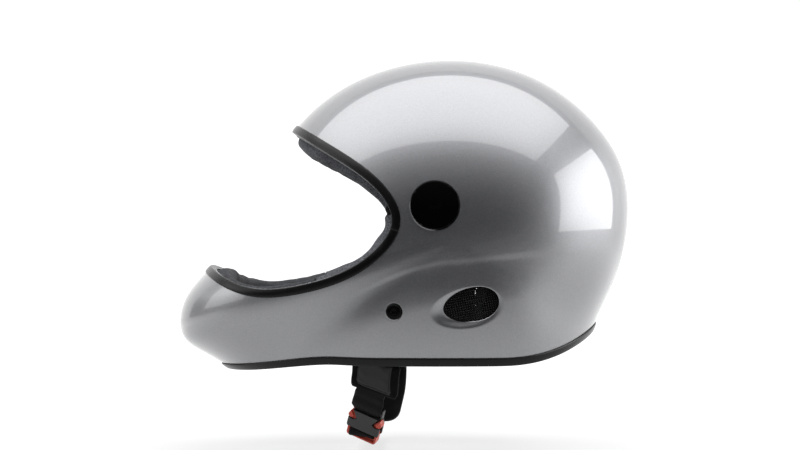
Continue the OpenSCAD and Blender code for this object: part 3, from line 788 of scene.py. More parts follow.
class Nodes:
    """Short way to fill a shader node tree."""

    def __init__(self, tree: bpy.types.NodeTree) -> None:
        """Keeps the tree that is filled."""
        self.tree = tree

    def add(self, kind: str, inputs: dict[str | int, Value] | None = None,
            **settings: object) -> bpy.types.Node:
        """Adds a node.

        Args:
            kind: The node's type.
            inputs: Values or sockets for its inputs.
            settings: Values for its properties.

        Returns:
            The new node.
        """
        made = self.tree.nodes.new(kind)
        for key, value in settings.items():
            setattr(made, key, value)
        for key, value in (inputs or {}).items():
            if isinstance(value, Socket):
                self.tree.links.new(value, made.inputs[key])
            else:
                made.inputs[key].default_value = value
        return made

    def math(self, operation: str, *values: Value) -> Socket:
        """Adds a sum and gives its result."""
        return self.add("ShaderNodeMath", dict(enumerate(values)), operation=operation).outputs[0]

    def times(self, first: Value, second: Value) -> Socket:
        """Multiplies two values."""
        return self.math("MULTIPLY", first, second)

    def span(self, value: Value, low: float, high: float, to_low: float = 0.0,
             to_high: float = 1.0) -> Socket:
        """Moves a value from one range to another and holds it there."""
        return self.add("ShaderNodeMapRange", {0: value, 1: low, 2: high, 3: to_low, 4: to_high}).outputs[0]

    def blend(self, factor: Value, first: Value, second: Value) -> Socket:
        """Mixes two colours."""
        return self.add("ShaderNodeMix", {0: factor, 6: first, 7: second}, data_type="RGBA").outputs[2]

    def noise(self, vector: Value, scale: Value, detail: float = 2.0, distortion: float = 0.0) -> Socket:
        """Adds a noise texture and gives its value."""
        return self.add("ShaderNodeTexNoise", {"Vector": vector, "Scale": scale, "Detail": detail,
                                               "Distortion": distortion}).outputs[0]


class Effect(Enum):
    """Surface effects that the finishes share. Each is one node group.

    The pattern groups take a place in metres and a pitch in metres, and give a Tone and a Height.
    """

    GRAIN = "Moulded Grain"
    FLEECE = "Brushed Fleece"
    KNIT = "Mesh Knit"
    WEAVE = "Webbing Weave"
    FLAKES = "Metal Flakes"
    BEADS = "Foam Beads"
    BRUSHED = "Rolled Metal"
    EDGE_WEAR = "Edge Wear"
    DUST = "Settled Dust"

    def tree(self) -> bpy.types.NodeTree:
        """The effect's node group, built on its first use.

        Returns:
            The group.
        """
        found = bpy.data.node_groups.get(self.value)
        if found:
            return found
        tree = bpy.data.node_groups.new(self.value, "ShaderNodeTree")
        mask = self in (Effect.EDGE_WEAR, Effect.DUST)
        face = tree.interface
        if mask:
            face.new_socket("Amount", in_out="INPUT", socket_type="NodeSocketFloat")
            face.new_socket("Mask", in_out="OUTPUT", socket_type="NodeSocketFloat")
        else:
            face.new_socket("Place", in_out="INPUT", socket_type="NodeSocketVector")
            face.new_socket("Pitch", in_out="INPUT", socket_type="NodeSocketFloat")
            face.new_socket("Tone", in_out="OUTPUT", socket_type="NodeSocketFloat")
            face.new_socket("Height", in_out="OUTPUT", socket_type="NodeSocketFloat")
        nodes = Nodes(tree)
        entry = nodes.add("NodeGroupInput")
        results = (self._mask(nodes, entry.outputs[0]),) if mask else self._pattern(nodes, entry)
        nodes.add("NodeGroupOutput", dict(enumerate(results)))
        return tree

    def _mask(self, nodes: Nodes, amount: Socket) -> Socket:
        """Fills a mask's group.

        Args:
            nodes: The group's tree.
            amount: Strength of the mask.

        Returns:
            The mask's socket.
        """
        place = nodes.add("ShaderNodeTexCoord").outputs["Object"]
        shape = nodes.add("ShaderNodeNewGeometry")
        if self is Effect.EDGE_WEAR:
            edge = nodes.span(shape.outputs["Pointiness"], 0.51, 0.60)
            patch = nodes.span(nodes.noise(place, 180.0, 4.0), 0.42, 0.66)
            return nodes.times(nodes.times(edge, patch), amount)
        up = nodes.add("ShaderNodeSeparateXYZ", {0: shape.outputs["Normal"]}).outputs[2]
        lying = nodes.span(up, 0.1, 1.0)
        patch = nodes.span(nodes.noise(place, 60.0, 6.0, 0.6), 0.35, 0.75)
        return nodes.times(nodes.times(lying, patch), amount)

    def _pattern(self, nodes: Nodes, entry: bpy.types.Node) -> tuple[Socket, Socket]:
        """Fills a pattern's group.

        Args:
            nodes: The group's tree.
            entry: The group's input node.

        Returns:
            The sockets of its tone and its height.
        """
        place, pitch = entry.outputs[0], entry.outputs[1]
        scale = nodes.math("DIVIDE", 1.0, pitch)
        broad = nodes.noise(place, nodes.times(scale, 0.06), 3.0)
        if self is Effect.GRAIN:
            return broad, nodes.noise(place, scale, 3.0)
        if self is Effect.FLEECE:
            curls = nodes.noise(place, scale, 5.0, 1.6)
            tufts = nodes.noise(place, nodes.times(scale, 0.28), 3.0, 0.8)
            height = nodes.math("ADD", nodes.times(curls, 0.6), nodes.times(tufts, 0.7))
            tone = nodes.math("ADD", nodes.times(nodes.span(curls, 0.43, 0.57), 0.8),
                              nodes.times(nodes.span(broad, 0.3, 0.7), 0.2))
            return tone, height
        if self in (Effect.FLAKES, Effect.BEADS):
            cells = nodes.add("ShaderNodeTexVoronoi", {"Vector": place, "Scale": scale},
                              feature="F1" if self is Effect.FLAKES else "SMOOTH_F1")
            tone = nodes.add("ShaderNodeSeparateColor", {0: cells.outputs["Color"]}).outputs[0]
            if self is Effect.FLAKES:
                return tone, nodes.noise(place, nodes.times(scale, 0.11), 1.0)
            return tone, nodes.span(cells.outputs["Distance"], 0.1, 0.7, 1.0, 0.0)
        if self is Effect.BRUSHED:
            drawn = nodes.add("ShaderNodeMapping", {"Vector": place, "Scale": (1.0, 0.05, 1.0)}).outputs[0]
            lines = nodes.noise(drawn, scale, 4.0)
            return lines, lines
        split = nodes.add("ShaderNodeSeparateXYZ", {0: place})
        across = nodes.times(split.outputs[0], scale)
        along = nodes.times(split.outputs[1], scale)
        if self is Effect.KNIT:
            ways = nodes.math("ADD", across, along), nodes.times(split.outputs[2], scale)
            rows, lines = (nodes.math("ABSOLUTE", nodes.math("SINE", nodes.times(way, math.pi)))
                           for way in ways)
            loops = nodes.times(rows, lines)
            return nodes.times(nodes.math("ADD", loops, broad), 0.5), loops
        thread = nodes.math("PINGPONG", nodes.times(across, 2.0), 1.0)
        odd = nodes.times(nodes.math("FLOOR", across), math.pi)
        wave = nodes.math("COSINE", nodes.math("ADD", nodes.times(along, math.pi), odd))
        warp = nodes.times(thread, nodes.math("ADD", nodes.times(wave, 0.35), 0.65))
        weft = nodes.times(nodes.math("PINGPONG", nodes.times(along, 2.0), 1.0),
                           nodes.math("ADD", nodes.times(wave, -0.3), 0.3))
        height = nodes.math("MAXIMUM", warp, weft)
        return nodes.times(nodes.math("ADD", height, broad), 0.5), height


@dataclass(frozen=True)
class Finish:
    """One material of the helmet. Lengths are millimetres, colours are linear."""

    name: str
    color: tuple[float, float, float]
    second: tuple[float, float, float]
    roughness: float
    effect: Effect
    pitch: float
    relief: float
    spread: float = 0.08
    metallic: float = 0.0
    coat: float = 0.0
    coat_roughness: float = 0.04
    sheen: float = 0.0
    sheen_roughness: float = 0.5
    specular: float = 0.5
    worn: tuple[float, float, float] = (0.3, 0.3, 0.3)
    wear: float = 0.0
    dust: float = 0.0
    on_cloth: bool = False

    def material(self) -> Material:
        """The material, built on its first use."""
        found = bpy.data.materials.get(f"{self.name}_finish")
        return found if found else self._build()

    def _build(self) -> Material:
        """Builds the material from the shared effects.

        Returns:
            The new material.
        """
        made = bpy.data.materials.new(f"{self.name}_finish")
        made.use_nodes = True
        nodes = Nodes(made.node_tree)
        shader = made.node_tree.nodes["Principled BSDF"]
        if self.on_cloth:
            place = nodes.add("ShaderNodeAttribute", attribute_name="lay").outputs["Vector"]
        else:
            place = nodes.add("ShaderNodeTexCoord").outputs["Object"]
        pattern = nodes.add("ShaderNodeGroup", node_tree=self.effect.tree())
        made.node_tree.links.new(place, pattern.inputs["Place"])
        pattern.inputs["Pitch"].default_value = self.pitch * MM
        tone, height = pattern.outputs["Tone"], pattern.outputs["Height"]
        color = nodes.blend(tone, (*self.color, 1.0), (*self.second, 1.0))
        rough = nodes.span(tone, 0.2, 0.8, self.roughness - self.spread, self.roughness + self.spread)
        for effect, amount, stain, dull in ((Effect.EDGE_WEAR, self.wear, self.worn, -0.06),
                                            (Effect.DUST, self.dust, (0.42, 0.40, 0.37), 0.25)):
            if amount:
                mask = nodes.add("ShaderNodeGroup", node_tree=effect.tree())
                mask.inputs["Amount"].default_value = amount
                color = nodes.blend(mask.outputs[0], color, (*stain, 1.0))
                rough = nodes.math("ADD", rough, nodes.times(mask.outputs[0], dull))
        bump = nodes.add("ShaderNodeBump", {"Strength": 1.0, "Distance": self.relief * MM, "Height": height})
        for key, value in (("Base Color", color), ("Roughness", rough), ("Normal", bump.outputs[0])):
            made.node_tree.links.new(value, shader.inputs[key])
        for key, value in (("Metallic", self.metallic), ("Coat Weight", self.coat),
                           ("Coat Roughness", self.coat_roughness), ("Sheen Weight", self.sheen),
                           ("Sheen Roughness", self.sheen_roughness), ("Specular IOR Level", self.specular)):
            shader.inputs[key].default_value = value
        made.diffuse_color = (*self.color, 1.0)
        return made


LACQUER = Finish("silver_lacquer", (0.205, 0.208, 0.216), (0.27, 0.273, 0.283), 0.37, Effect.FLAKES, 0.34,
                 0.005, metallic=1.0, coat=1.0, coat_roughness=0.008, spread=0.04)
SHELL_INSIDE = Finish("shell_laminate", (0.035, 0.036, 0.038), (0.055, 0.056, 0.06), 0.62, Effect.GRAIN,
                      0.9, 0.05)
RUBBER = Finish("trim_rubber", (0.0016, 0.0016, 0.0018), (0.0036, 0.0036, 0.004), 0.27, Effect.GRAIN, 0.45,
                0.012, spread=0.03, specular=0.20, worn=(0.012, 0.012, 0.0125), wear=0.3)
FOAM = Finish("crush_foam", (0.020, 0.020, 0.022), (0.045, 0.045, 0.048), 0.72, Effect.BEADS, 3.2, 0.35)
FLEECE = Finish("lining_fleece", (0.022, 0.023, 0.027), (0.165, 0.170, 0.188), 0.92, Effect.FLEECE, 1.25, 0.5,
                sheen=0.2, specular=0.15)
# A darker copy of the lining fleece for the chin roll, whose top faces the overhead lamp: painted shade.
SHADED_CHIN_FLEECE = replace(FLEECE, name="chin_fleece", color=(0.010, 0.0105, 0.012), second=(0.070, 0.073, 0.083))
# The edging's pale colour stands in for the highlight along the inner edge of the port's trim: a painted
# highlight.
HIGHLIGHT_EDGING = Finish("lining_edging", (0.30, 0.305, 0.315), (0.42, 0.425, 0.435), 0.55, Effect.WEAVE, 0.6, 0.03)
KNIT = Finish("comfort_knit", (0.030, 0.033, 0.040), (0.070, 0.076, 0.090), 0.88, Effect.KNIT, 1.5, 0.22,
              sheen=0.25, specular=0.2)
DARK_THREAD = Finish("dark_thread", (0.002, 0.002, 0.002), (0.005, 0.005, 0.005), 0.6, Effect.GRAIN, 0.2,
                     0.05, specular=0.2)
PIPING = Finish("seam_piping", (0.006, 0.006, 0.0065), (0.014, 0.014, 0.015), 0.5, Effect.GRAIN, 0.3, 0.06,
                sheen=0.08, specular=0.3)
CAP_GLOSS = Finish("cap_gloss", (0.0005, 0.0005, 0.0005), (0.001, 0.001, 0.001), 0.14, Effect.GRAIN, 1.6,
                   0.003, spread=0.03, specular=0.06, worn=(0.006, 0.006, 0.006), wear=0.25)
NET = Finish("vent_net", (0.0008, 0.0008, 0.0008), (0.002, 0.002, 0.002), 0.5, Effect.GRAIN, 0.3, 0.02,
             specular=0.08)
# Real raised knots whose paler colour stands in for the glints where the net's wires cross: a painted
# highlight.
GLINT_KNOT = Finish("vent_knots", (0.035, 0.035, 0.036), (0.06, 0.06, 0.062), 0.4, Effect.GRAIN, 0.3, 0.01,
              specular=0.2)
RIVET = Finish("rivet_black", (0.0006, 0.0006, 0.0006), (0.0014, 0.0014, 0.0014), 0.30, Effect.GRAIN, 0.7,
               0.008, specular=0.08, worn=(0.015, 0.015, 0.015), wear=0.3)
STEEL = Finish("hanger_steel", (0.42, 0.43, 0.44), (0.56, 0.57, 0.58), 0.32, Effect.BRUSHED, 0.5, 0.01,
               metallic=1.0, worn=(0.75, 0.75, 0.74), wear=0.6)
BRASS = Finish("insert_brass", (0.52, 0.36, 0.14), (0.66, 0.48, 0.21), 0.28, Effect.BRUSHED, 0.4, 0.008,
               metallic=1.0, worn=(0.85, 0.68, 0.36), wear=0.5)
WEBBING = Finish("webbing_black", (0.0012, 0.0012, 0.0013), (0.006, 0.006, 0.0063), 0.62, Effect.WEAVE,
                 1.25, 0.16, sheen=0.06, specular=0.14, on_cloth=True)
PAD_GREY = Finish("pad_grey", (0.018, 0.0182, 0.0190), (0.032, 0.0324, 0.0336), 0.50, Effect.WEAVE, 0.55,
                  0.04, sheen=0.08, specular=0.25, on_cloth=True)
PAD_BLACK = Finish("pad_black", (0.0012, 0.0012, 0.0013), (0.004, 0.004, 0.0042), 0.80, Effect.FLEECE, 0.6,
                   0.12, sheen=0.04, specular=0.1)
BUCKLE_DARK = Finish("buckle_dark", (0.016, 0.016, 0.0165), (0.026, 0.026, 0.027), 0.42, Effect.GRAIN, 0.35,
                     0.018, worn=(0.07, 0.07, 0.075), wear=0.5)
BUCKLE_RED = Finish("buckle_red", (0.86, 0.105, 0.066), (0.94, 0.135, 0.086), 0.36, Effect.GRAIN, 0.35, 0.015,
                    worn=(0.90, 0.22, 0.16), wear=0.4)


# Places on the helmet

@dataclass(frozen=True)
class Axis:
    """A turned local frame: its origin and its three directions, on the left or the right side."""

    origin: tuple[float, float, float]
    first: tuple[float, float, float]
    second: tuple[float, float, float]
    third: tuple[float, float, float]
    side: int = 1

    def __call__(self, local: Array) -> Array:
        """Local places, put into the helmet's frame."""
        at = np.asarray(self.origin) + np.asarray(local) @ np.array([self.first, self.second, self.third])
        return at * (self.side, 1, 1)

    def mirrored(self) -> "Axis":
        """The same frame on the other side."""
        return Axis(self.origin, self.first, self.second, self.third, -self.side)


CAP_TILT = math.radians(11)
CAP_AXIS = Axis((120.903, -6.0, 118.5), (math.sin(CAP_TILT), 0.0, -math.cos(CAP_TILT)), (0.0, 1.0, 0.0),
                (math.cos(CAP_TILT), 0.0, math.sin(CAP_TILT)))
RIVET_AXIS = Axis((119.55, -36.0, 41.0), (0.0, 1.0, 0.0), (0.0, 0.0, 1.0), (1.0, 0.0, 0.0))
STRAP_AXIS = Axis((114.524, -36.0, 41.0), (0.288859, 0.883992, -0.367585), (-0.443186, -0.216866, -0.869802),
                  (-0.848615, 0.414158, 0.329129))


def on_side(axis: Axis, side: Side) -> Axis:
    """The frame on the wanted side."""
    return axis if side is Side.LEFT else axis.mirrored()


def inside(points: Array, polygon: Array) -> Array:
    """Whether points of a plane lie in a polygon.

    Args:
        points: Places in the plane.
        polygon: Its corners.

    Returns:
        Whether each place lies in it.
    """
    x, y = points[..., 0:1], points[..., 1:2]
    a, b = polygon, np.roll(polygon, -1, 0)
    crosses = (a[:, 1] > y) != (b[:, 1] > y)
    rise = np.where(b[:, 1] == a[:, 1], 1e-12, b[:, 1] - a[:, 1])
    return (crosses & (x < (b[:, 0] - a[:, 0]) * (y - a[:, 1]) / rise + a[:, 0])).sum(-1) % 2 == 1


def apart(points: Array, polygon: Array) -> Array:
    """Distance of points of a plane to a polygon's edges.

    Args:
        points: Places in the plane.
        polygon: Its corners.

    Returns:
        The distance of each place.
    """
    a, b = polygon, np.roll(polygon, -1, 0)
    d = b - a
    away = points[..., None, :] - a
    t = np.clip((away * d).sum(-1) / np.maximum((d * d).sum(-1), 1e-12), 0, 1)
    return np.linalg.norm(away - t[..., None] * d, axis=-1).min(-1)


# The shell

@dataclass
class EarVent:
    """Opening of the ear vent, the basin round it and the net in it."""

    length: float = 41.0
    height: float = 25.0
    tilt: float = 11.0
    y: float = 21.0
    z: float = 46.0
    taper: float = 0.12
    basin_length: float = 27.5
    basin_height: float = 15.2
    basin_forward: float = -4.3
    basin_down: float = -1.2
    basin_depth: float = 2.7
    basin_wall: float = 0.40
    net_pitch: float = 1.72
    net_wire: float = 0.94
    net_depth: float = 3.1
    knot: float = 0.34

    def _turned(self, flat: Array) -> Array:
        """Places of the tilted vent, put into the side view."""
        a = math.radians(self.tilt)
        return flat @ np.array([[math.cos(a), math.sin(a)], [-math.sin(a), math.cos(a)]]) + (self.y, self.z)

    def opening(self, grow: float, count: int = 108) -> Array:
        """The opening's outline in the side view, grown by a length.

        Args:
            grow: Length by which it grows.
            count: Number of places.

        Returns:
            The outline.
        """
        t = full_turn(count)
        s = np.cos(t)
        return self._turned(np.stack([(self.length / 2 + grow) * s, (self.height / 2 + grow)
                                      * np.sin(t) * (1 + self.taper * s)], -1))

    def basin(self, reach: float, count: int = 108) -> Array:
        """The basin's outline in the side view, at a share of its reach.

        Args:
            reach: The share.
            count: Number of places.

        Returns:
            The outline.
        """
        t = full_turn(count)
        s = np.cos(t) * reach
        return self._turned(np.stack([self.basin_forward + self.basin_length * s, self.basin_down
                                      + self.basin_height * reach * np.sin(t) * (1 + 0.1 * s)], -1))

    def depth(self, p: Array) -> Array:
        """The basin's depth at side-view places.

        Args:
            p: The places.

        Returns:
            The depths.
        """
        a = math.radians(self.tilt)
        d = p - (self.y, self.z)
        s = (d @ (math.cos(a), math.sin(a)) - self.basin_forward) / self.basin_length
        h = (d @ (-math.sin(a), math.cos(a)) - self.basin_down) / self.basin_height / (1 + 0.1 * s)
        return self.basin_depth * ease((1 - np.hypot(s, h)) / self.basin_wall)

    def net(self) -> Form:
        """The left vent's net: crossed wires that follow the skin, with a rim round them.

        Returns:
            The net.
        """
        form = Form()
        columns = int(self.length / 2 / self.net_pitch)
        rows = int(self.height / 2 / self.net_pitch) + 1
        edge = self.opening(0.5)
        for upright, reach in ((True, columns), (False, rows)):
            for k in range(-reach, reach + 1):
                at = np.linspace(-24, 24, 193)
                fixed = np.full_like(at, k * self.net_pitch)
                flat = self._turned(np.stack([fixed, at] if upright else [at, fixed], -1))
                kept = flat[inside(flat, edge)]
                if len(kept) < 6:
                    continue
                kept = kept[np.linspace(0, len(kept) - 1, max(6, len(kept) // 3)).astype(int)]
                weave = 0.10 * np.cos(np.arange(len(kept)) * 2.1 + k * np.pi) * (1 if upright else -1)
                form.tube(SKIN.raised(kept, self.net_depth + weave), self.net_wire / 2, 6)
        rim = SKIN.raised(self.opening(0.05), self.net_depth)
        return form.tube(rim, 0.75, 8, loop=True)

    def knots(self) -> Form:
        """The raised knots where the left net's wires cross; their paler finish is a painted highlight for
        the glints at the crossings.

        Returns:
            The knots.
        """
        columns, rows = int(self.length / 2 / self.net_pitch), int(self.height / 2 / self.net_pitch) + 1
        x, y = np.meshgrid(np.arange(-columns, columns + 1), np.arange(-rows, rows + 1))
        flat = self._turned(np.stack([x.ravel(), y.ravel()], -1) * self.net_pitch)
        flat = flat[inside(flat, self.opening(-0.9))]
        top = SKIN.raised(flat, self.net_depth - self.net_wire / 2 - 0.12)
        low = SKIN.raised(flat, self.net_depth)
        way = unit(top - low)
        first = unit(np.cross(way, (0.0, 0.0, 1.0)))
        second = np.cross(way, first)
        form = Form()
        for t, w, a, b in zip(top, way, first, second):
            turn = full_turn(6)[:, None]
            rings = [t + self.knot * (r * (np.cos(turn) * a + np.sin(turn) * b) - d * w)
                     for r, d in ((0.45, 0.0), (0.85, 0.3), (1.0, 0.9))]
            form.loft(np.array(rings))
        return form


@dataclass
class Shell:
    """The moulded shell with its cap seats, rivet dishes and ear vents."""

    wall: float = 3.4
    turns: int = 220
    jaw_turn: float = 0.41
    runs: int = 120
    seat_radius: float = 18.25
    seat_count: int = 120
    seat_reach: float = 20.6
    seat_edge: Pair = (19.4, 18.95)
    # Radius of each ring and its share of the skin's height over the seat's floor
    seat_steps: tuple[Pair, ...] = (
        (18.62, 0.985), (18.42, 0.90), (18.29, 0.75), (18.25, 0.5), (18.2, 0.08), (17.95, 0.0),
        (14.0, 0.0), (9.0, 0.0), (4.4, 0.0))
    boss_radius: float = 8.0
    boss_depth: float = 9.1
    bore_radius: float = 4.1
    bore_depth: float = 6.7
    dish_count: int = 72
    dish_lip: float = 6.95
    dish_reach: float = 8.2
    dish_steps: tuple[Pair, ...] = (
        (6.66, 0.985), (6.44, 0.90), (6.3, 0.74), (6.26, 0.5), (6.22, 0.08), (6.1, 0.0))
    pin_radius: float = 2.6
    rivet_boss: float = 3.176
    rivet_boss_foot: float = 8.4
    rivet_boss_reach: float = 8.6
    # Share of the way from the opening to the basin's edge, then growth and extra depth at the opening
    vent_shares: tuple[float, ...] = (1.0, 0.96, 0.92, 0.88, 0.84, 0.80, 0.72, 0.60, 0.45, 0.30, 0.15, 0.0)
    vent_lip: tuple[Pair, ...] = ((0.45, 0.05), (0.18, 0.20), (0.03, 0.48), (0.0, 0.8))
    vent: EarVent = field(default_factory=EarVent)

    def _on_axis(self, axis: Axis, radius: float, count: int) -> Array:
        """Side-view places on a circle round an axis.

        Args:
            axis: The axis.
            radius: Its radius.
            count: Number of places.

        Returns:
            The places.
        """
        t = full_turn(count)
        ring = radius * np.stack([np.cos(t), np.sin(t)], -1)
        return SKIN.over(np.asarray(axis.origin), np.asarray(axis.first), np.asarray(axis.second), ring)

    def _local(self, axis: Axis, radius: float, height: Array | float, count: int) -> Array:
        """A circle round an axis, at heights along it.

        Args:
            axis: The axis.
            radius: Its radius.
            height: One height, or one for each point.
            count: Number of points.

        Returns:
            The points.
        """
        t = full_turn(count)
        flat = np.stack([radius * np.cos(t), radius * np.sin(t), np.broadcast_to(height, t.shape)], -1)
        return axis(flat)

    def _seat_rings(self) -> tuple[list[Array], list[Array]]:
        """Rings of the cap seat's outer side and of the boss behind it.

        Returns:
            Both, from the skin to the bore and from the wall to the boss's end.
        """
        n, axis = self.seat_count, CAP_AXIS
        outer = [SKIN.raised(self._on_axis(axis, r, n)) for r in self.seat_edge]
        lip = SKIN.raised(self._on_axis(axis, self.seat_radius + 0.35, n))
        high = (lip - np.asarray(axis.origin)) @ np.asarray(axis.third)
        for radius, share in self.seat_steps:
            outer.append(self._local(axis, radius, high * share, n))
        outer += [self._local(axis, self.bore_radius, z, n) for z in (-0.25, -self.bore_depth)]
        inner = []
        foot = SKIN.raised(self._on_axis(axis, self.boss_radius + 1.2, n), self.wall)
        low = (foot - np.asarray(axis.origin)) @ np.asarray(axis.third)
        for radius, drop in ((self.boss_radius + 0.45, 0.25), (self.boss_radius, 0.9)):
            inner.append(self._local(axis, radius, low - drop, n))
        for radius, z in ((self.boss_radius, 0.5), (self.boss_radius - 0.5, 0.0)):
            inner.append(self._local(axis, radius, z - self.boss_depth, n))
        return outer, inner

    def _dish_rings(self) -> list[Array]:
        """Rings from the rivet dish's lip through its bore to the boss on the inner side.

        Returns:
            The rings.
        """
        n, axis = self.dish_count, RIVET_AXIS
        rings = [SKIN.raised(self._on_axis(axis, self.dish_lip, n))]
        high = (rings[0] - np.asarray(axis.origin)) @ np.asarray(axis.third)
        for radius, share in (*self.dish_steps, (self.pin_radius, 0.0)):
            rings.append(self._local(axis, radius, high * share, n))
        rings += [self._local(axis, r, -z, n) for r, z in
                  ((self.pin_radius, self.rivet_boss), (7.1, self.rivet_boss), (7.6, self.rivet_boss - 0.5))]
        foot = SKIN.raised(self._on_axis(axis, self.rivet_boss_foot, n), self.wall)
        low = (foot - np.asarray(axis.origin)) @ np.asarray(axis.third)
        rings.append(self._local(axis, 7.65, low - 0.5, n))
        return rings

    def _vent_places(self, outline: Array) -> Array:
        """Side-view places whose skin lies over an outline seen from the side."""
        return SKIN.over(np.zeros(3), np.array([0.0, 1, 0]), np.array([0.0, 0, 1]), outline)

    def _vent_rings(self) -> tuple[list[Array], list[Array]]:
        """Rings of the basin down to the opening and through the wall, with their normals.

        Returns:
            The rings and their normals.
        """
        outer, inner = self.vent.basin(1.0), self.vent.opening(0.75)
        rings, normals = [], []
        for share in self.vent_shares:
            p = self._vent_places(inner + (outer - inner) * share)
            rings.append(SKIN.raised(p, self.vent.depth(p)))
            normals.append(self._normals(p))
        for grow, more in self.vent_lip:
            p = self._vent_places(self.vent.opening(grow))
            rings.append(SKIN.raised(p, self.vent.depth(p) + more))
            normals.append(np.zeros((len(p), 3)))
        return rings, normals

    def _normals(self, p: Array) -> Array:
        """Normals of the skin with the basin in it, at side-view places off the middle.

        Args:
            p: The places.

        Returns:
            The normals.
        """
        e, d = 0.35, self.vent.depth
        y, z = np.array([e, 0.0]), np.array([0.0, e])
        across = SKIN.raised(p + y, d(p + y)) - SKIN.raised(p - y, d(p - y))
        up = SKIN.raised(p + z, d(p + z)) - SKIN.raised(p - z, d(p - z))
        return unit(np.cross(across, up))

    def _grid(self, depth: float) -> tuple[Array, Array, Array]:
        """Side-view places, points and normals of one side of the wall, on the left half.

        Args:
            depth: Depth of this side under the skin.

        Returns:
            The places, points and normals.
        """
        even = np.linspace(0, 1, 2001)
        dense = np.cumsum(1 + 2.0 * np.exp(-(((even - self.jaw_turn) / 0.11) ** 2)))
        dense = (dense - dense[0]) / (dense[-1] - dense[0])
        turn = np.interp(np.linspace(0, 1, self.turns + 1), dense, even)[:, None]
        run = np.linspace(0, 1, self.runs + 1)[None, :]
        p = SKIN.side_view((1 - np.cos(np.pi * turn)) / 2, run)
        e = 0.0015
        over = SKIN.place(turn + e, run, depth) - SKIN.place(turn - e + 2, run, depth)
        down = (SKIN.place(turn, np.minimum(run + e, 1), depth)
                - SKIN.place(turn, np.maximum(run - e, 0), depth))
        return p, SKIN.place(turn, run, depth), unit(np.cross(over, down)) * (1 if depth == 0 else -1)

    def _patched(self, depth: float, holes: Sequence[tuple[Array, Array, Array]]) -> tuple[
            Array, list[Face], Array, list[list[int]]]:
        """A side of the wall with holes in its grid, filled up to the holes' rings.

        Args:
            depth: Depth of this side under the skin.
            holes: For each hole its ring in the side view, the ring's points and their normals.

        Returns:
            Points, faces, normals, and each ring's indices.
        """
        p, q, n = self._grid(depth)
        rows = self.runs + 1
        points, normals, flat = q.reshape(-1, 3), n.reshape(-1, 3), p.reshape(-1, 2)
        open_cells = np.zeros((self.turns, self.runs), bool)
        loops, ring_ids = [], []
        for ring, _, _ in holes:
            near = inside(p, ring) | (apart(p, ring) < 2.3)
            cells = near[:-1, :-1] | near[1:, :-1] | near[:-1, 1:] | near[1:, 1:]
            open_cells |= cells
            loops.append(self._edge_of(cells, rows))
        faces: list[Face] = []
        for i, j in zip(*np.nonzero(~open_cells)):
            a = int(i) * rows + int(j)
            faces.append((a, a + rows, a + rows + 1, a + 1))
        for (ring, at, normal), loop in zip(holes, loops):
            start = len(points)
            ids = list(range(start, start + len(ring)))
            points, normals = np.vstack([points, at]), np.vstack([normals, normal])
            flat = np.vstack([flat, ring])
            ring_ids.append(ids)
            used = loop + ids
            spots = [Vector(flat[k]) for k in used]
            m = len(loop)
            edges = [(k, (k + 1) % m) for k in range(m)]
            edges += [(m + k, m + (k + 1) % len(ids)) for k in range(len(ids))]
            _, _, tris, origin, _, _ = delaunay_2d_cdt(spots, edges, [], 0, 1e-6)
            border = flat[loop]
            for tri in tris:
                corners = [used[origin[k][0]] for k in tri]
                middle = flat[corners].mean(0)[None]
                if inside(middle, border)[0] and not inside(middle, ring)[0]:
                    faces.append(tuple(corners))
        return points, faces, normals, ring_ids

    @staticmethod
    def _edge_of(cells: Array, rows: int) -> list[int]:
        """The loop of grid vertices round a set of cells.

        Args:
            cells: Which cells of the grid belong to it.
            rows: Vertices in a column of the grid.

        Returns:
            The vertices' numbers, in order.
        """
        after: dict[int, int] = {}
        for i, j in zip(*np.nonzero(cells)):
            a = int(i) * rows + int(j)
            for start, end, di, dj in ((a, a + rows, 0, -1), (a + rows, a + rows + 1, 1, 0),
                                       (a + rows + 1, a + 1, 0, 1), (a + 1, a, -1, 0)):
                if not cells[i + di, j + dj]:
                    after[start] = end
        first = next(iter(after))
        loop, k = [first], after[first]
        while k != first:
            loop.append(k)
            k = after[k]
        return loop

    def build(self) -> Piece:
        """Builds the shell.

        Returns:
            The shell, which stands for its node.
        """
        seat, boss = self._seat_rings()
        dish = self._dish_rings()
        vent, vent_normals = self._vent_rings()
        n, m = self.seat_count, self.dish_count
        seat_p = self._on_axis(CAP_AXIS, self.seat_reach, n)
        dish_p = self._on_axis(RIVET_AXIS, self.dish_reach, m)
        vent_p = self._vent_places(self.vent.basin(1.07))
        boss_p = self._on_axis(CAP_AXIS, self.boss_radius + 1.6, n)
        pin_p = self._on_axis(RIVET_AXIS, self.rivet_boss_reach, m)
        hole_p = self._vent_places(self.vent.opening(0.6))
        outer = self._patched(0.0, [(p, SKIN.raised(p), self._normals(p)) for p in (seat_p, dish_p, vent_p)])
        inner = self._patched(self.wall, [(p, SKIN.raised(p, self.wall), -self._normals(p))
                                          for p in (boss_p, pin_p, hole_p)])
        wall = Wall([outer[0], inner[0]], [outer[2], inner[2]], list(outer[1]), len(outer[0]) + len(inner[0]))
        shift, first_inner = len(outer[0]), len(outer[1])
        wall.faces += [tuple(reversed([k + shift for k in f])) for f in inner[1]]
        inner_ids = [[k + shift for k in ids] for ids in inner[3]]
        wall.faces.append(tuple(wall.strips(inner_ids[0], boss)))
        last_inner = len(wall.faces)
        wall.faces.append(tuple(wall.strips(outer[3][0], seat)))
        for start, rings, turned, end in ((outer[3][1], dish, None, inner_ids[1]),
                                          (outer[3][2], vent, vent_normals, inner_ids[2])):
            wall.join(wall.strips(start, rings, turned), end)
        rows = self.runs + 1
        for i in range(self.turns):
            for j in (0, self.runs):
                a, b = i * rows + j, (i + 1) * rows + j
                wall.faces.append((a, b, b + shift, a + shift))
        return self._both_sides(wall, first_inner, last_inner)

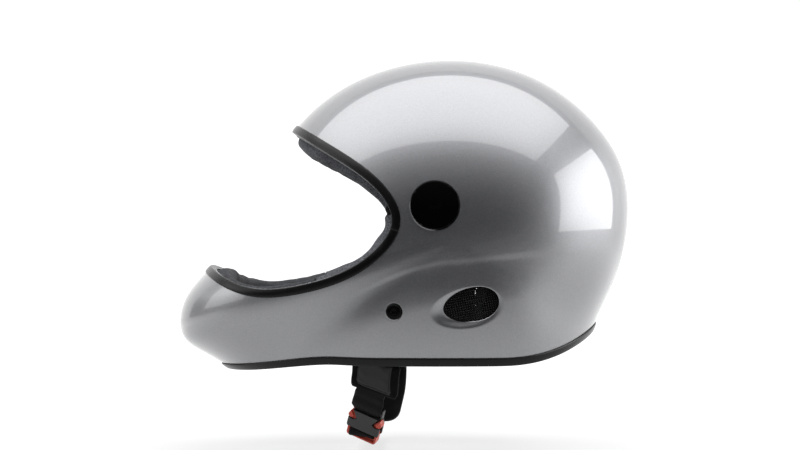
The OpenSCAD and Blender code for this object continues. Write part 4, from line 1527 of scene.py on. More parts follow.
    @staticmethod
    def _both_sides(wall: "Wall", first_inner: int, last_inner: int) -> Piece:
        """Adds the right half, welded along the middle, and writes the piece.

        Args:
            wall: The left half.
            first_inner: Number of the first face of the wall's inner side.
            last_inner: Number of the face after its last.

        Returns:
            The shell.
        """
        points, normals, faces = np.vstack(wall.points), np.vstack(wall.normals), wall.faces
        middle = np.abs(points[:, 0]) < 1e-7
        other = np.where(middle, np.arange(len(points)), np.cumsum(~middle) - 1 + len(points))
        form = Form()
        form.add(np.vstack([points, points[~middle] * (-1, 1, 1)]),
                 faces + [tuple(int(other[k]) for k in reversed(f)) for f in faces])
        made = form.piece("shell", LACQUER.material(), np.vstack([normals, normals[~middle] * (-1, 1, 1)]))
        made.data.materials.append(SHELL_INSIDE.material())
        deep = np.zeros(len(faces), np.int32)
        deep[first_inner:last_inner] = 1
        made.data.polygons.foreach_set("material_index", np.tile(deep, 2))
        return dress(made, "helmet", "shell_lacquer", "outer_shell")


@dataclass
class Wall:
    """Points, normals and faces of a wall while its holes are given their sides."""

    points: list[Array]
    normals: list[Array]
    faces: list[Face]
    count: int

    def join(self, ring: Sequence[int], other: Sequence[int]) -> None:
        """Joins two rings by a strip of faces."""
        n = len(ring)
        self.faces.extend((ring[i], ring[(i + 1) % n], other[(i + 1) % n], other[i]) for i in range(n))

    def strips(self, ring: Sequence[int], rings: Sequence[Array],
               normals: Sequence[Array] | None = None) -> Sequence[int]:
        """Joins rings of new points to a ring, one after the other.

        Args:
            ring: Indices of the ring that is there.
            rings: The new rings.
            normals: Their normals, if they aren't the mesh's own.

        Returns:
            Indices of the last ring.
        """
        for k, new in enumerate(rings):
            self.points.append(new)
            self.normals.append(normals[k] if normals is not None else np.zeros_like(new))
            ids = range(self.count, self.count + len(new))
            self.count += len(new)
            self.join(ring, ids)
            ring = ids
        return ring


def dress(piece: Piece, body: str, slot: str, *nodes: str, fill: float | None = None) -> Piece:
    """Attaches a piece to the body that carries it and hides the nodes that it stands for.

    Args:
        piece: The piece.
        body: Body that it rides on.
        slot: Slot of the record; not used.
        nodes: Nodes that it replaces.
        fill: How tight it is filled, for a padded piece; not used.

    Returns:
        The piece.
    """
    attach(piece, body)
    if nodes:
        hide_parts(*nodes)
    log.info("%s rides on %s, %d vertices", piece.name, body, len(piece.data.vertices))
    return piece


# Edge trims

@dataclass
class EdgeTrim:
    """Rubber trim round an edge of the shell: a lip outside, a bead over the edge, a lip inside."""

    name: str
    at_port: bool
    joint: float | None = None
    stations: int = 420
    joint_depth: float = 0.55
    proud: float = 0.5
    section: tuple[Pair, ...] = (
        (4.8, -0.32), (4.86, -0.9), (4.62, -1.42), (4.2, -1.72), (3.3, -1.98), (2.2, -2.02), (1.0, -2.02),
        (0.2, -1.96), (-0.12, -1.72), (-0.5, -1.78), (-0.95, -1.6), (-1.35, -1.22), (-1.68, -0.6),
        (-1.82, 0.3), (-1.84, 1.3), (-1.8, 2.2), (-1.66, 3.2), (-1.25, 4.3), (-0.6, 5.0), (0.2, 5.36),
        (1.4, 5.4), (3.0, 5.4), (4.2, 5.38), (4.72, 5.1), (4.84, 4.6), (4.78, 4.06), (2.4, 4.02),
        (-0.26, 4.0), (-0.3, 2.6), (-0.3, 1.0), (-0.28, -0.3), (2.2, -0.31))

    def build(self) -> Piece:
        """Builds the trim.

        Returns:
            The trim, which stands for its node.
        """
        turn = np.linspace(0, 2, self.stations, endpoint=False)
        sunk = np.zeros(len(turn))
        if self.joint is not None:
            near = self.joint + np.array([-0.003, -0.0011, -0.0005, 0.0, 0.0005, 0.0011, 0.003])
            turn = np.concatenate([turn[np.abs(turn - self.joint) > 0.0042], near])
            sunk = np.concatenate([np.zeros(len(turn) - 7), [0, 0, 0.4, 1, 0.4, 0, 0]]) * self.joint_depth
            order = np.argsort(turn)
            turn, sunk = turn[order], sunk[order]
        s = np.array(self.section)
        s[:, 1] = np.where(s[:, 1] < -0.32, -0.32 + (s[:, 1] + 0.32) * self.proud, s[:, 1])
        middle = np.array([1.4, 1.7])
        inward = unit(middle - s)
        mm = s[None, :, 0] + sunk[:, None] * inward[None, :, 0]
        depth = s[None, :, 1] + sunk[:, None] * inward[None, :, 1]
        start = SKIN.from_port if self.at_port else SKIN.from_rim
        made = Form().loft(SKIN.place(turn[:, None], start(turn[:, None], mm), depth), loop=True).piece(
            f"{self.name}_rubber", RUBBER.material())
        return dress(made, "helmet", "trim_rubber", self.name)


# The lining

@dataclass
class Lining:
    """Crushable foam and the comfort pads inside the shell."""

    foam_out: float = 4.2
    foam_in: float = 27.2
    pad_out: float = 28.3
    roll_top: float = 5.6
    roll_back: float = 8.8
    roll_out: float = 6.6
    roll_deep: float = 36.0
    roll_nose: float = 7.0
    cheek_out: float = 9.4
    edging_out: float = 1.75
    bead: float = 1.8
    crown_pad: float = 9.0
    cheek_pad: float = 19.0
    neck_pad: float = 13.0
    crown_back: float = 16.0
    gap: float = 0.4

    def build(self) -> list[Piece]:
        """Builds the foams, pads and rolls.

        Returns:
            All pieces of the lining.
        """
        made = [self._impact_liner(), self._chin_foam(), self._crown_pad(), self._neck_roll()]
        made += self._brow_pad() + self._chin_lining() + [self._edging()]
        for side in Side:
            made += self._cheek(side)
        return made

    @staticmethod
    def _slab(turn: Array, start: Array, end: Array, low: float, high: float, rows: int,
              corner: float) -> Array:
        """Rings of an even layer with rounded long edges.

        Args:
            turn: Turns of the rings.
            start: Run of each ring's first edge.
            end: Run of each ring's last edge.
            low: Depth of its outer face.
            high: Depth of its inner face.
            rows: Places along each face.
            corner: Rounding, as a share of a face's length.

        Returns:
            The rings.
        """
        t = np.linspace(corner, 1 - corner, rows)
        c = high - low
        arc = np.linspace(0, np.pi / 2, 6)[1:-1]
        r = min(2.4, c / 2)
        first, last = corner * (1 - np.sin(arc)), 1 - corner + corner * np.sin(arc)
        run = [t, last, np.array([1.0, 1.0]), last[::-1], t[::-1], first, np.array([0.0, 0.0]), first[::-1]]
        rise = r * (1 - np.cos(arc))
        depth = [np.full(rows, low), low + rise, np.array([low + r, high - r]), (high - rise)[::-1],
                 np.full(rows, high), high - rise, np.array([high - r, low + r]), (low + rise)[::-1]]
        run, depth = np.concatenate(run), np.concatenate(depth)
        v = start[:, None] + (end - start)[:, None] * run[None, :]
        return SKIN.place(turn[:, None], v, depth[None, :])

    def _impact_liner(self) -> Piece:
        """The crushable foam of the crown, back and sides.

        Returns:
            The foam.
        """
        reach = turn_of(0.4)
        turn = np.linspace(-reach, reach, 121)
        k = np.abs(turn) / reach
        rings = self._slab(turn, SKIN.from_port(turn, self.roll_back + self.gap),
                           SKIN.from_rim(turn, 12.0) - 0.6 * k * k, self.foam_out, self.foam_in, 46, 0.012)
        made = Form().loft(rings).piece("impact_foam", FOAM.material())
        return dress(made, "helmet", "crush_foam", "impact_liner")

    def _chin_foam(self) -> Piece:
        """The crushable foam of the chin bar.

        Returns:
            The foam.
        """
        first = turn_of(0.72)
        turn = np.linspace(first, 2 - first, 81)
        rings = self._slab(turn, SKIN.from_port(turn, self.roll_back + self.gap), SKIN.from_rim(turn, 9.0),
                           self.foam_out, self.foam_in, 14, 0.04)
        made = Form().loft(rings).piece("chin_bar_foam", FOAM.material())
        return dress(made, "helmet", "crush_foam", "chin_foam")

    @staticmethod
    def _pillow(turn: Array, start: Array, end: Array, back: float, rise: Array, rows: int) -> Array:
        """Rings of a cushion that is flat on its back and crowned in front.

        Args:
            turn: Turns of the rings.
            start: Run of each ring's first edge.
            end: Run of each ring's last edge.
            back: Depth of its back.
            rise: Height over its back, one row for each ring.
            rows: Places along its front.

        Returns:
            The rings.
        """
        t = crowded(rows)
        flat = np.linspace(0.01, 0.99, rows // 2)
        run = np.concatenate([flat, t[::-1]])
        depth = np.concatenate([np.full((len(turn), len(flat)), back), back + rise[:, ::-1]], 1)
        v = start[:, None] + (end - start)[:, None] * run[None, :]
        return SKIN.place(turn[:, None], v, depth)

    def _crown_pad(self) -> Piece:
        """The quilted pad in the crown.

        Returns:
            The pad.
        """
        reach, rows = turn_of(0.2), 72
        turn = reach * swing(91)
        g, t = (turn / reach + 1) / 2, crowded(rows)
        across, back = crown(g, 0.08) * quilt(g, 3), crown(t, 0.08) * quilt(t, 3)
        rise = self.crown_pad * across[:, None] * back[None, :]
        rings = self._pillow(turn, SKIN.from_port(turn, self.roll_back + self.crown_back),
                             0.7 - 0.15 * (np.abs(turn) / reach) ** 2, self.pad_out, rise, rows)
        made = Air().fill(Form().loft(rings).piece("crown_cushion", KNIT.material()))
        return dress(made, "helmet", "comfort_cloth", "crown_pad", fill=0.6)

    def _neck_roll(self) -> Piece:
        """The roll round the nape.

        Returns:
            The roll.
        """
        reach, rows = turn_of(0.33), 40
        turn = reach * swing(121)
        g, t = (turn / reach + 1) / 2, crowded(rows)
        rise = self.neck_pad * crown(g, 0.08)[:, None] * (crown(t, 0.08) * quilt(t, 2))[None, :]
        rings = self._pillow(turn, SKIN.from_rim(turn, 50.0), SKIN.from_rim(turn, 7.0), self.pad_out, rise,
                             rows)
        made = Air().fill(Form().loft(rings).piece("nape_cushion", KNIT.material()))
        return dress(made, "helmet", "comfort_cloth", "neck_roll", fill=0.7)

    def _roll_section(self, k: Array, deep: float) -> Array:
        """Outline of a roll along the port, in lengths from the port's edge and depths.

        Args:
            k: How full the roll is, one value for each ring.
            deep: Depth of its inner side.

        Returns:
            One smooth closed outline for each value.
        """
        top, d, out = self.roll_top, deep - self.roll_top, self.roll_out
        one = np.ones_like(k)
        mm = np.stack([self.roll_back * one, 0 * one, -self.bead - out * k * 0.7, -self.bead - out * k,
                       -self.bead - out * k * 0.8, 0 * one, self.roll_back * 0.6 * one,
                       self.roll_back * one], -1)
        depth = np.stack([(top + 1) * one, top * one, (top + 2.5) * one, (top + self.roll_nose) * one,
                          (top + d * 0.6) * one, top + d * (0.6 + 0.3 * k), top + d * (0.6 + 0.4 * k),
                          (top + d * 0.85) * one], -1)
        outline = np.stack([mm, depth], -1).transpose(1, 0, 2)
        return corner_cut(outline, 3).transpose(1, 0, 2)

    def _roll(self, name: str, turn: Array, k: Array, deep: float, nodes: tuple[str, ...], fill: float,
              seed: int, finish: Finish, end: float = 3.0) -> list[Piece]:
        """A soft roll along the port's edge, with rounded ends.

        Args:
            name: Name of the piece.
            turn: Turns of its rings.
            k: How full it is at each ring.
            deep: Depth of its inner side.
            nodes: Nodes that it stands for.
            fill: How tight it is filled.
            seed: Seed of its unevenness.
            finish: Its cloth.
            end: Length of its rounded ends.

        Returns:
            The roll.
        """
        steps = np.linalg.norm(np.diff(SKIN.place(turn, 0.0), axis=0), axis=1)
        length = np.concatenate([[0], np.cumsum(steps)])
        near = np.minimum(length, length[-1] - length) / end
        section = round_ends(self._roll_section(k, deep), near)
        rings = SKIN.place(turn[:, None], SKIN.from_port(turn[:, None], section[..., 0]), section[..., 1])
        slot = "pad_black" if finish is PAD_BLACK else "lining_cloth"
        made = Form().loft(uneven(rings, 0.35, 16.0, seed)).piece(name, finish.material())
        return [dress(made, "helmet", slot, *nodes, fill=fill)]

    def _brow_pad(self) -> list[Piece]:
        """The roll over the brow and down to the port's rear, and the black cloth gussets below its ends,
        which also fill the gap before the cheek pads with a dark sheet: painted shade.

        Returns:
            The roll and the gussets.
        """
        reach = turn_of(0.342)
        turn = reach * swing(241)
        lobes = 1 + 0.45 * np.exp(-(((np.abs(turn) - 0.13) / 0.075) ** 2))
        full = lobes * crown((turn / reach + 1) / 2, 0.8) * 0.97
        made = self._roll("brow_roll", turn, full, self.roll_deep, ("brow_pad",), 0.7, 3, FLEECE)
        for side in Side:
            # Black cloth gussets that fill the gap below the roll's ends with a dark sheet: painted shade in
            # the gap before the cheek pads.
            low = side.value * np.linspace(turn_of(0.322), turn_of(0.374), 31)[::side.value]
            made += self._roll(f"roll_gusset_{side.word}", low, np.full(31, 0.8), 20.0, (), 0.5, 9, PAD_BLACK)
        return made

    def _chin_lining(self) -> list[Piece]:
        """The roll along the chin bar, in a darker copy of the lining fleece that paints shade on it.

        Returns:
            The roll.
        """
        first = turn_of(0.6865)
        s = (1 + swing(181)) / 2
        turn = first + (2 - 2 * first) * s
        full = crown(s, 0.9) * (0.84 + 0.4 * ease((0.14 - np.abs(turn - 1)) / 0.08))
        # The chin roll wears the darker fleece copy, painted shade.
        return self._roll("chin_roll", turn, full, self.roll_deep - 8, ("chin_lining",), 0.6, 5,
                          SHADED_CHIN_FLEECE, 1.2)

    def _edging(self) -> Piece:
        """The pale edging between the port's trim and the lining, whose pale colour is a painted highlight
        along the trim's inner edge.

        Returns:
            The edging.
        """
        turn = np.linspace(0, 2, 400, endpoint=False)
        path = SKIN.place(turn, SKIN.from_port(turn, -self.edging_out), 4.3)
        made = Form().tube(path, 0.55, 8, loop=True).piece("lining_edging", HIGHLIGHT_EDGING.material())
        return dress(made, "helmet", "lining_cloth")

    def _cheek(self, side: Side) -> list[Piece]:
        """A cheek pad: its roll towards the port and its quilted face towards the cheek.

        Args:
            side: Its side.

        Returns:
            The pad.
        """
        rear, front, rows = turn_of(0.345), turn_of(0.6882), 40
        t = (1 + swing(91)) / 2
        turn, k = rear + (front - rear) * t, crown(t, 0.4)
        r = crowded(rows)
        first = SKIN.from_port(turn, -self.bead - self.cheek_out * crown(t, 0.8) * (1 - 0.2 * t))
        last = SKIN.from_rim(turn, 9.0)
        at_edge, behind = SKIN.from_port(turn, 0.0), SKIN.from_port(turn, self.roll_back)
        v = [first, at_edge, behind, behind]
        d = [np.full_like(t, self.roll_top + self.roll_nose), np.full_like(t, self.roll_top),
             np.full_like(t, self.roll_top + 1), np.full_like(t, self.pad_out)]
        for share in (0.25, 0.5, 0.75, 1.0):
            v.append(behind + (last - behind) * share)
            d.append(np.full_like(t, self.pad_out))
        for q in r[::-1]:
            v.append(first + (last - first) * q)
            d.append(self.pad_out + self.cheek_pad * k * crown(q, 0.12) * quilt(q, 2))
        outline = corner_cut(np.stack([np.stack(v, -1), np.stack(d, -1)], -1).transpose(1, 0, 2), 1)
        outline = outline.transpose(1, 0, 2)
        outline = round_ends(outline, np.minimum(t / 0.028, (1 - t) / 0.01))
        rings = SKIN.place(turn[:, None], outline[..., 0], outline[..., 1])
        form = Form().loft(uneven(rings, 0.4, 20.0, 11))
        made = form.on(side).piece(f"cheek_cushion_{side.word}", FLEECE.material())
        return [dress(made, "helmet", "lining_cloth", f"cheek_pad_{side.word}", fill=0.65)]


# Caps, nets, rivets and inserts

@dataclass
class SideParts:
    """The small parts on both sides of the shell."""

    cap_radius: float = 18.0
    cap_height: float = 3.0
    cap_dome: float = 1.1
    cap_round: float = 0.55
    notch_radius: float = 1.2
    notch_at: float = 18.4
    notches: tuple[float, ...] = (35.0, 145.0, 235.0, 325.0)
    head_radius: float = 5.8

    def build(self) -> list[Piece]:
        """Builds the parts of both sides.

        Returns:
            The new pieces.
        """
        made = []
        net, knots = EarVent().net(), EarVent().knots()
        for side in Side:
            made.append(self._cap(side))
            piece = net.on(side).piece(f"ear_net_{side.word}", NET.material())
            made.append(dress(piece, "helmet", "vent_net", f"vent_mesh_{side.word}"))
            # The knots' paler finish is a painted highlight on the net's crossings.
            piece = knots.on(side).piece(f"ear_knots_{side.word}", GLINT_KNOT.material())
            made.append(dress(piece, "helmet", "vent_net"))
            made.append(self._rivet(side))
        return made

    def _notched(self, radius: Array, angle: Array) -> Array:
        """The cap's radii with its notches cut in.

        Args:
            radius: Radii without notches.
            angle: Their angles.

        Returns:
            The radii.
        """
        for at in self.notches:
            off = (angle - math.radians(at) + math.pi) % (2 * math.pi) - math.pi
            reach = self.notch_at * np.cos(off)
            cut = self.notch_radius**2 - (self.notch_at * np.sin(off)) ** 2
            edge = reach - np.sqrt(np.maximum(cut, 0.0))
            radius = np.where((cut > 0) & (reach > 0) & (radius > edge), edge, radius)
        return radius

    def _cap(self, side: Side) -> Piece:
        """The round gloss cap.

        Args:
            side: Its side.

        Returns:
            The cap.
        """
        r, h, b = self.cap_radius, self.cap_height, self.cap_round
        dome = (r * r + self.cap_dome**2) / (2 * self.cap_dome)
        arc = np.linspace(0, np.pi / 2, 7)
        profile = [(7.4, 0.06), (7.4, 2.6), (0.01, 2.6)][::-1]
        profile += [(r - 0.3, 0.06), (r - 0.06, 0.14), (r, 0.4), (r, h * 0.5), (r, h - b - 0.05)]
        top = h + self.cap_dome - dome + math.sqrt(dome**2 - (r - b) ** 2)
        profile += [(r - b + b * math.cos(a), top - b + b * math.sin(a)) for a in arc]
        profile += [(q, h + self.cap_dome - dome + math.sqrt(dome**2 - q * q)) for q in
                    (r - b - 0.5, 16.0, 14.5, 12.0, 9.0, 6.0, 3.0, 0.01)]
        angles = 720
        form = Form().turned(profile, on_side(CAP_AXIS, side), angles, self._notched)
        made = form.piece(f"side_cap_{side.word}", CAP_GLOSS.material())
        return dress(made, f"cap_{side.word}", "cap_gloss", f"pivot_cap_{side.word}")

    def _rivet(self, side: Side) -> Piece:
        """The strap's rivet: head, shank and the upset end inside.

        Args:
            side: Its side.

        Returns:
            The rivet.
        """
        r = self.head_radius
        profile = [(0.01, -8.4), (3.9, -8.4), (4.35, -8.1), (4.4, -7.7), (4.4, -7.0), (2.5, -6.88),
                   (2.5, -0.02), (r - 0.25, 0.0), (r, 0.2), (r, 0.62), (r - 0.12, 1.02), (r - 0.5, 1.4),
                   (r - 1.1, 1.72), (r - 1.9, 1.98), (2.9, 2.14), (2.4, 2.18), (2.18, 2.05), (2.06, 1.6),
                   (1.85, 1.2), (1.4, 1.02), (0.01, 1.0)]
        form = Form().turned(profile, on_side(RIVET_AXIS, side), 72)
        made = form.piece(f"rivet_{side.word}", RIVET.material())
        return dress(made, "helmet", "rivet_black", f"anchor_rivet_{side.word}")


# The chin strap

def near_strap(local: Array) -> Array:
    """Places on the left strap, which leans forward under its pad.

    Args:
        local: Places in the strap's frame.

    Returns:
        The places in the helmet's frame.
    """
    s = np.asarray(local)[..., 1]
    lean = -3.0 * ease((70 - s) / 25) * ease((s - 24) / 18)
    return STRAP_AXIS(local + lean[..., None] * np.array([1.0, 0.0, 0.0]))


def far_strap(local: Array, share: float = 1.0) -> Array:
    """Places on the right strap, which hangs a little further back, by a share of its drift."""
    drift = 9.2 * share * ease((np.asarray(local)[..., 1] - 18) / 60)
    return STRAP_AXIS.mirrored()(local + drift[..., None] * np.array([1.0, 0.0, 0.0]))


@dataclass(frozen=True)
class Pad:
    """A flat pad round the webbing. Its functions take shares of its length."""

    place: Place
    start: float
    length: float
    width: Place
    outer: Place
    inner: float = 4.0
    skew: float = 0.0
    seed: int = 21

    def at(self, u: Array, v: Array, t: Array, lift: float = 0.0) -> tuple[Array, Array]:
        """Places of the pad's skin.

        Args:
            u: Shares of its half width.
            v: Shares of its height, below 0 on its outer side.
            t: Shares of its length.
            lift: Height over its outer face.

        Returns:
            The places and their coordinates on the cloth.
        """
        full = 0.2 + 0.8 * (1 - np.abs(2 * t - 1) ** 9)
        z = np.where(v < 0, -v * self.outer(t) - lift, v * self.inner) * full
        x = self.width(t) * u * (0.97 + 0.03 * full)
        along = self.start + self.length * t + self.skew * u
        local = np.stack(np.broadcast_arrays(x, along, z), -1)
        local[..., 2] += 0.18 * soft_noise(local, 9.0, self.seed) * full
        return self.place(local), np.stack(np.broadcast_arrays(x, along + 0.35 * z, z), -1)

    def form(self) -> Form:
        """The pad's skin.

        Returns:
            The form.
        """
        t = crowded(101)[:, None]
        angle = full_turn(72)
        c, s = np.cos(angle), np.sin(angle)
        across, through_it = np.sign(c) * np.abs(c) ** 0.42, np.sign(s) * np.abs(s) ** 0.55
        rings, lay = self.at(across[None, :], through_it[None, :], t)
        return Form().loft(rings, lay=lay.reshape(-1, 3))

    def row(self, first: Pair, last: Pair, count: int = 60) -> Array:
        """A line of thread on the outer face.

        Args:
            first: Its first place, in shares of half width and length.
            last: Its last place.
            count: Places along it.

        Returns:
            The line.
        """
        u, t = np.linspace(first[0], last[0], count), np.linspace(first[1], last[1], count)
        return self.at(u, -((1 - np.abs(u) ** 4.762) ** 0.275), t, 0.06)[0]


@dataclass
class Strap:
    """Webbing, pads and the slack end under the chin."""

    width: float = 20.5
    thickness: float = 1.25
    bar: float = 20.0
    buckle: float = 86.0
    loop: float = 2.62
    pad_start: float = 43.0
    pad_width: float = 36.0
    back_width: float = 38.6
    left_pad: float = 28.0
    right_pad: float = 62.0
    cover_width: float = 28.0
    cover_length: float = 25.6
    crossbar: float = 107.55
    slack_loop: float = 2.4
    flare: float = 4.0
    flare_start: float = 66.0
    flare_reach: float = 9.0
    flare_shift: float = -1.3

    def build(self) -> list[Piece]:
        """Builds the strap's soft pieces.

        Returns:
            The new pieces.
        """
        made = [self._webbing(Side.LEFT), self._webbing(Side.RIGHT), self._slack()]
        return made + self._left_pad() + self._right_pad()

    @staticmethod
    def _band(path: Array, across: Array, width: Array | float, thickness: float) -> Form:
        """A strip of webbing with rounded edges.

        Args:
            path: Its middle line.
            across: Its direction across, one for each place.
            width: Its width, everywhere or at each place.
            thickness: Its thickness.

        Returns:
            The strip.
        """
        way = unit(np.gradient(path, axis=0))
        across = unit(across - (across * way).sum(-1, keepdims=True) * way)
        through_it = np.cross(way, across)
        u = np.concatenate([np.linspace(-1, 1, 15), np.linspace(1, -1, 15)])
        h = np.concatenate([np.full(15, 1.0), np.full(15, -1.0)])
        flat = np.broadcast_to(np.asarray(width) / 2, (len(path),))[:, None] * u
        rise = thickness / 2 * h * np.where(np.abs(u) > 0.999, 0.35, 1 - 0.07 * np.abs(u) ** 24)
        rings = path[:, None] + flat[..., None] * across[:, None] + rise[None, :, None] * through_it[:, None]
        along = np.concatenate([[0], np.cumsum(np.linalg.norm(np.diff(path, axis=0), axis=1))])
        lay = np.stack(np.broadcast_arrays(flat, along[:, None] + 5, h[None, :]), -1).reshape(-1, 3)
        return Form().loft(rings, lay=lay)

    def _webbing(self, side: Side) -> Piece:
        """Webbing folded round the hanger's bar and, on the left, creased and folded round the socket's bar.

        Args:
            side: Its side.

        Returns:
            The webbing.
        """
        far, r, flat, left = self.buckle, self.loop, 0.68, side is Side.LEFT
        turn = np.radians(np.linspace(-90, 90, 9))
        hook = [(self.bar - r * math.cos(a), r * math.sin(a)) for a in turn][::-1]
        if left:
            line = [(40.0, flat), (self.bar + 7, flat)] + hook
            line += [(s, -flat) for s in np.linspace(self.bar + 7, 66.0, 11)]
            line += [(72.0, -1.9), (75.0, -2.6), (78.0, -2.0), (81.5, -3.3), (84.2, -3.2)]
            line += [(far + r * math.cos(a), r * math.sin(a)) for a in turn]
            line += [(81.0, 1.3), (78.0, 0.6), (74.0, 0.9), (66.0, flat)]
        else:
            line = [(80.0, flat), (50.0, flat), (self.bar + 7, flat)] + hook
            line += [(s, -flat) for s in np.linspace(self.bar + 7, 99.0, 16)]
        flat_path = through(line, 400)
        s, z = flat_path[:, 0], flat_path[:, 1]
        start = ease((s - self.flare_start) / self.flare_reach) * left
        flare = start * ease((88.5 - s) / 3.5) * ease((-z - 1.0) / 0.9)
        local = np.stack([self.flare_shift * start, s, z], -1)
        path = near_strap(local) if left else far_strap(local, 0.5)
        across = np.broadcast_to(np.asarray(STRAP_AXIS.first) * (side.value, 1, 1), path.shape)
        band = self._band(path, across, self.width + self.flare * flare, self.thickness)
        made = band.piece(f"strap_webbing_{side.word}", WEBBING.material())
        return dress(made, "chin_strap", "webbing_black", f"webbing_{side.word}")

    def _slack(self) -> Piece:
        """The webbing from the plug under the chin to the right strap.

        Returns:
            The webbing.
        """
        down, thick = np.asarray(STRAP_AXIS.second), np.asarray(STRAP_AXIS.third)
        across, start = np.asarray(STRAP_AXIS.first), np.asarray(STRAP_AXIS.origin)
        flip, r = np.array([-1.0, 1.0, 1.0]), self.slack_loop
        b = (start + down * 99.5 + across * 4.6) * flip
        a = start + down * self.crossbar + thick * 5
        bends = [(-0.75, 5.6), (-2.1, 1.3)]
        bends += [(r * math.cos(t), r * math.sin(t)) for t in np.radians(np.linspace(200, 340, 7))]
        bends += [(2.1, 1.3), (0.75, 4.6)]
        route = [start + down * (self.crossbar + s) + thick * z for s, z in bends]
        route += [a + np.array([-7, 0, 2]), np.array([28, a[1] - 1.5, b[2] - 9]),
                  np.array([-8, -58, b[2] - 11.3]), np.array([b[0] + 22, b[1] - 2.5, b[2] - 11]),
                  b + 8 * down * flip, b - 4 * down * flip]
        path = through(route, 420)
        share = np.linspace(0, 1, len(path))[:, None]
        near, beyond = ease((share - 0.22) * 2.6), ease((share - 0.22) * 2.6 - 1)
        turned = np.array([0.0, -1, 0]) * (near - beyond) - across * (1 - near) - across * flip * beyond
        made = self._band(path, turned, self.width - 0.4, 1.15).piece("chin_web", WEBBING.material())
        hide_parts("chin_webbing")
        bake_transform(made)
        log.info("%s bends from plug to chin_strap", made.name)
        return made

    def _left_pad(self) -> list[Piece]:
        """The left pad: a black backing and a grey cover that is stitched on it.

        Returns:
            The backing, the cover and its threads.
        """
        half, grip = self.back_width / 2, self.cover_width / 2
        back = Pad(near_strap, self.pad_start, self.left_pad, lambda t: half - 1.6 * np.abs(2 * t - 1) ** 6,
                   lambda t: -2.6 + 0 * t, skew=-2.0)
        backing = back.form().piece("pad_backing_left", PAD_BLACK.material())
        dress(backing, "chin_strap", "pad_black", "strap_pad_left", fill=0.5)
        cover = Pad(near_strap, self.pad_start - 0.3, self.cover_length, lambda t: grip + 1.4 * t**3,
                    lambda t: (-4.15 + 0.2 * np.abs(2 * t - 1) ** 3
                               + 0.75 * np.exp(-(((t - 0.89) / 0.022) ** 2))),
                    -1.6, -0.75, 22)
        front = cover.form().piece("pad_cover_left", PAD_GREY.material())
        dress(front, "chin_strap", "pad_grey", fill=0.6)
        seams = Form()
        for first, last in (((-0.88, 0.89), (0.88, 0.89)), ((-0.88, 0.08), (0.88, 0.08)),
                            ((-0.9, 0.1), (-0.9, 0.89)), ((0.9, 0.1), (0.9, 0.89))):
            seams.stitches(cover.row(first, last), 1.7, 0.42)
        thread = seams.piece("pad_seams_left", DARK_THREAD.material())
        dress(thread, "chin_strap", "pad_black")
        return [backing, front, thread]

    def _right_pad(self) -> list[Piece]:
        """The longer right pad, with a rounded end.

        Returns:
            The pad and its piping.
        """
        s0, length, half = self.pad_start, self.right_pad, self.pad_width / 2

        def width(t: Array) -> Array:
            """Half width of the pad, rounded at its lower end.

            Args:
                t: Shares of its length.

            Returns:
                The half widths.
            """
            left = (1 - t) * length
            tip = np.sqrt(np.maximum(0.03, 1 - (1 - left / 13) ** 2)) * 0.99
            return half * np.where(left < 13, tip, 1.0) - 1.2 * np.abs(np.minimum(2 * t - 1, 0)) ** 6

        pad = Pad(far_strap, s0, length, width, lambda t: -3.9 + 0 * t, seed=31)
        made = pad.form().piece("pad_right", PAD_BLACK.material())
        dress(made, "chin_strap", "pad_black", "strap_pad_right", fill=0.5)
        t = crowded(90)
        rim = np.concatenate([np.stack([width(t), s0 + length * t, 0 * t], -1),
                              np.stack([-width(t), s0 + length * t, 0 * t], -1)[::-1]])
        piping = Form().tube(far_strap(rim), 0.75, 8, loop=True).piece("pad_piping_right", PIPING.material())
        dress(piping, "chin_strap", "pad_black")
        return [made, piping]


# The buckle

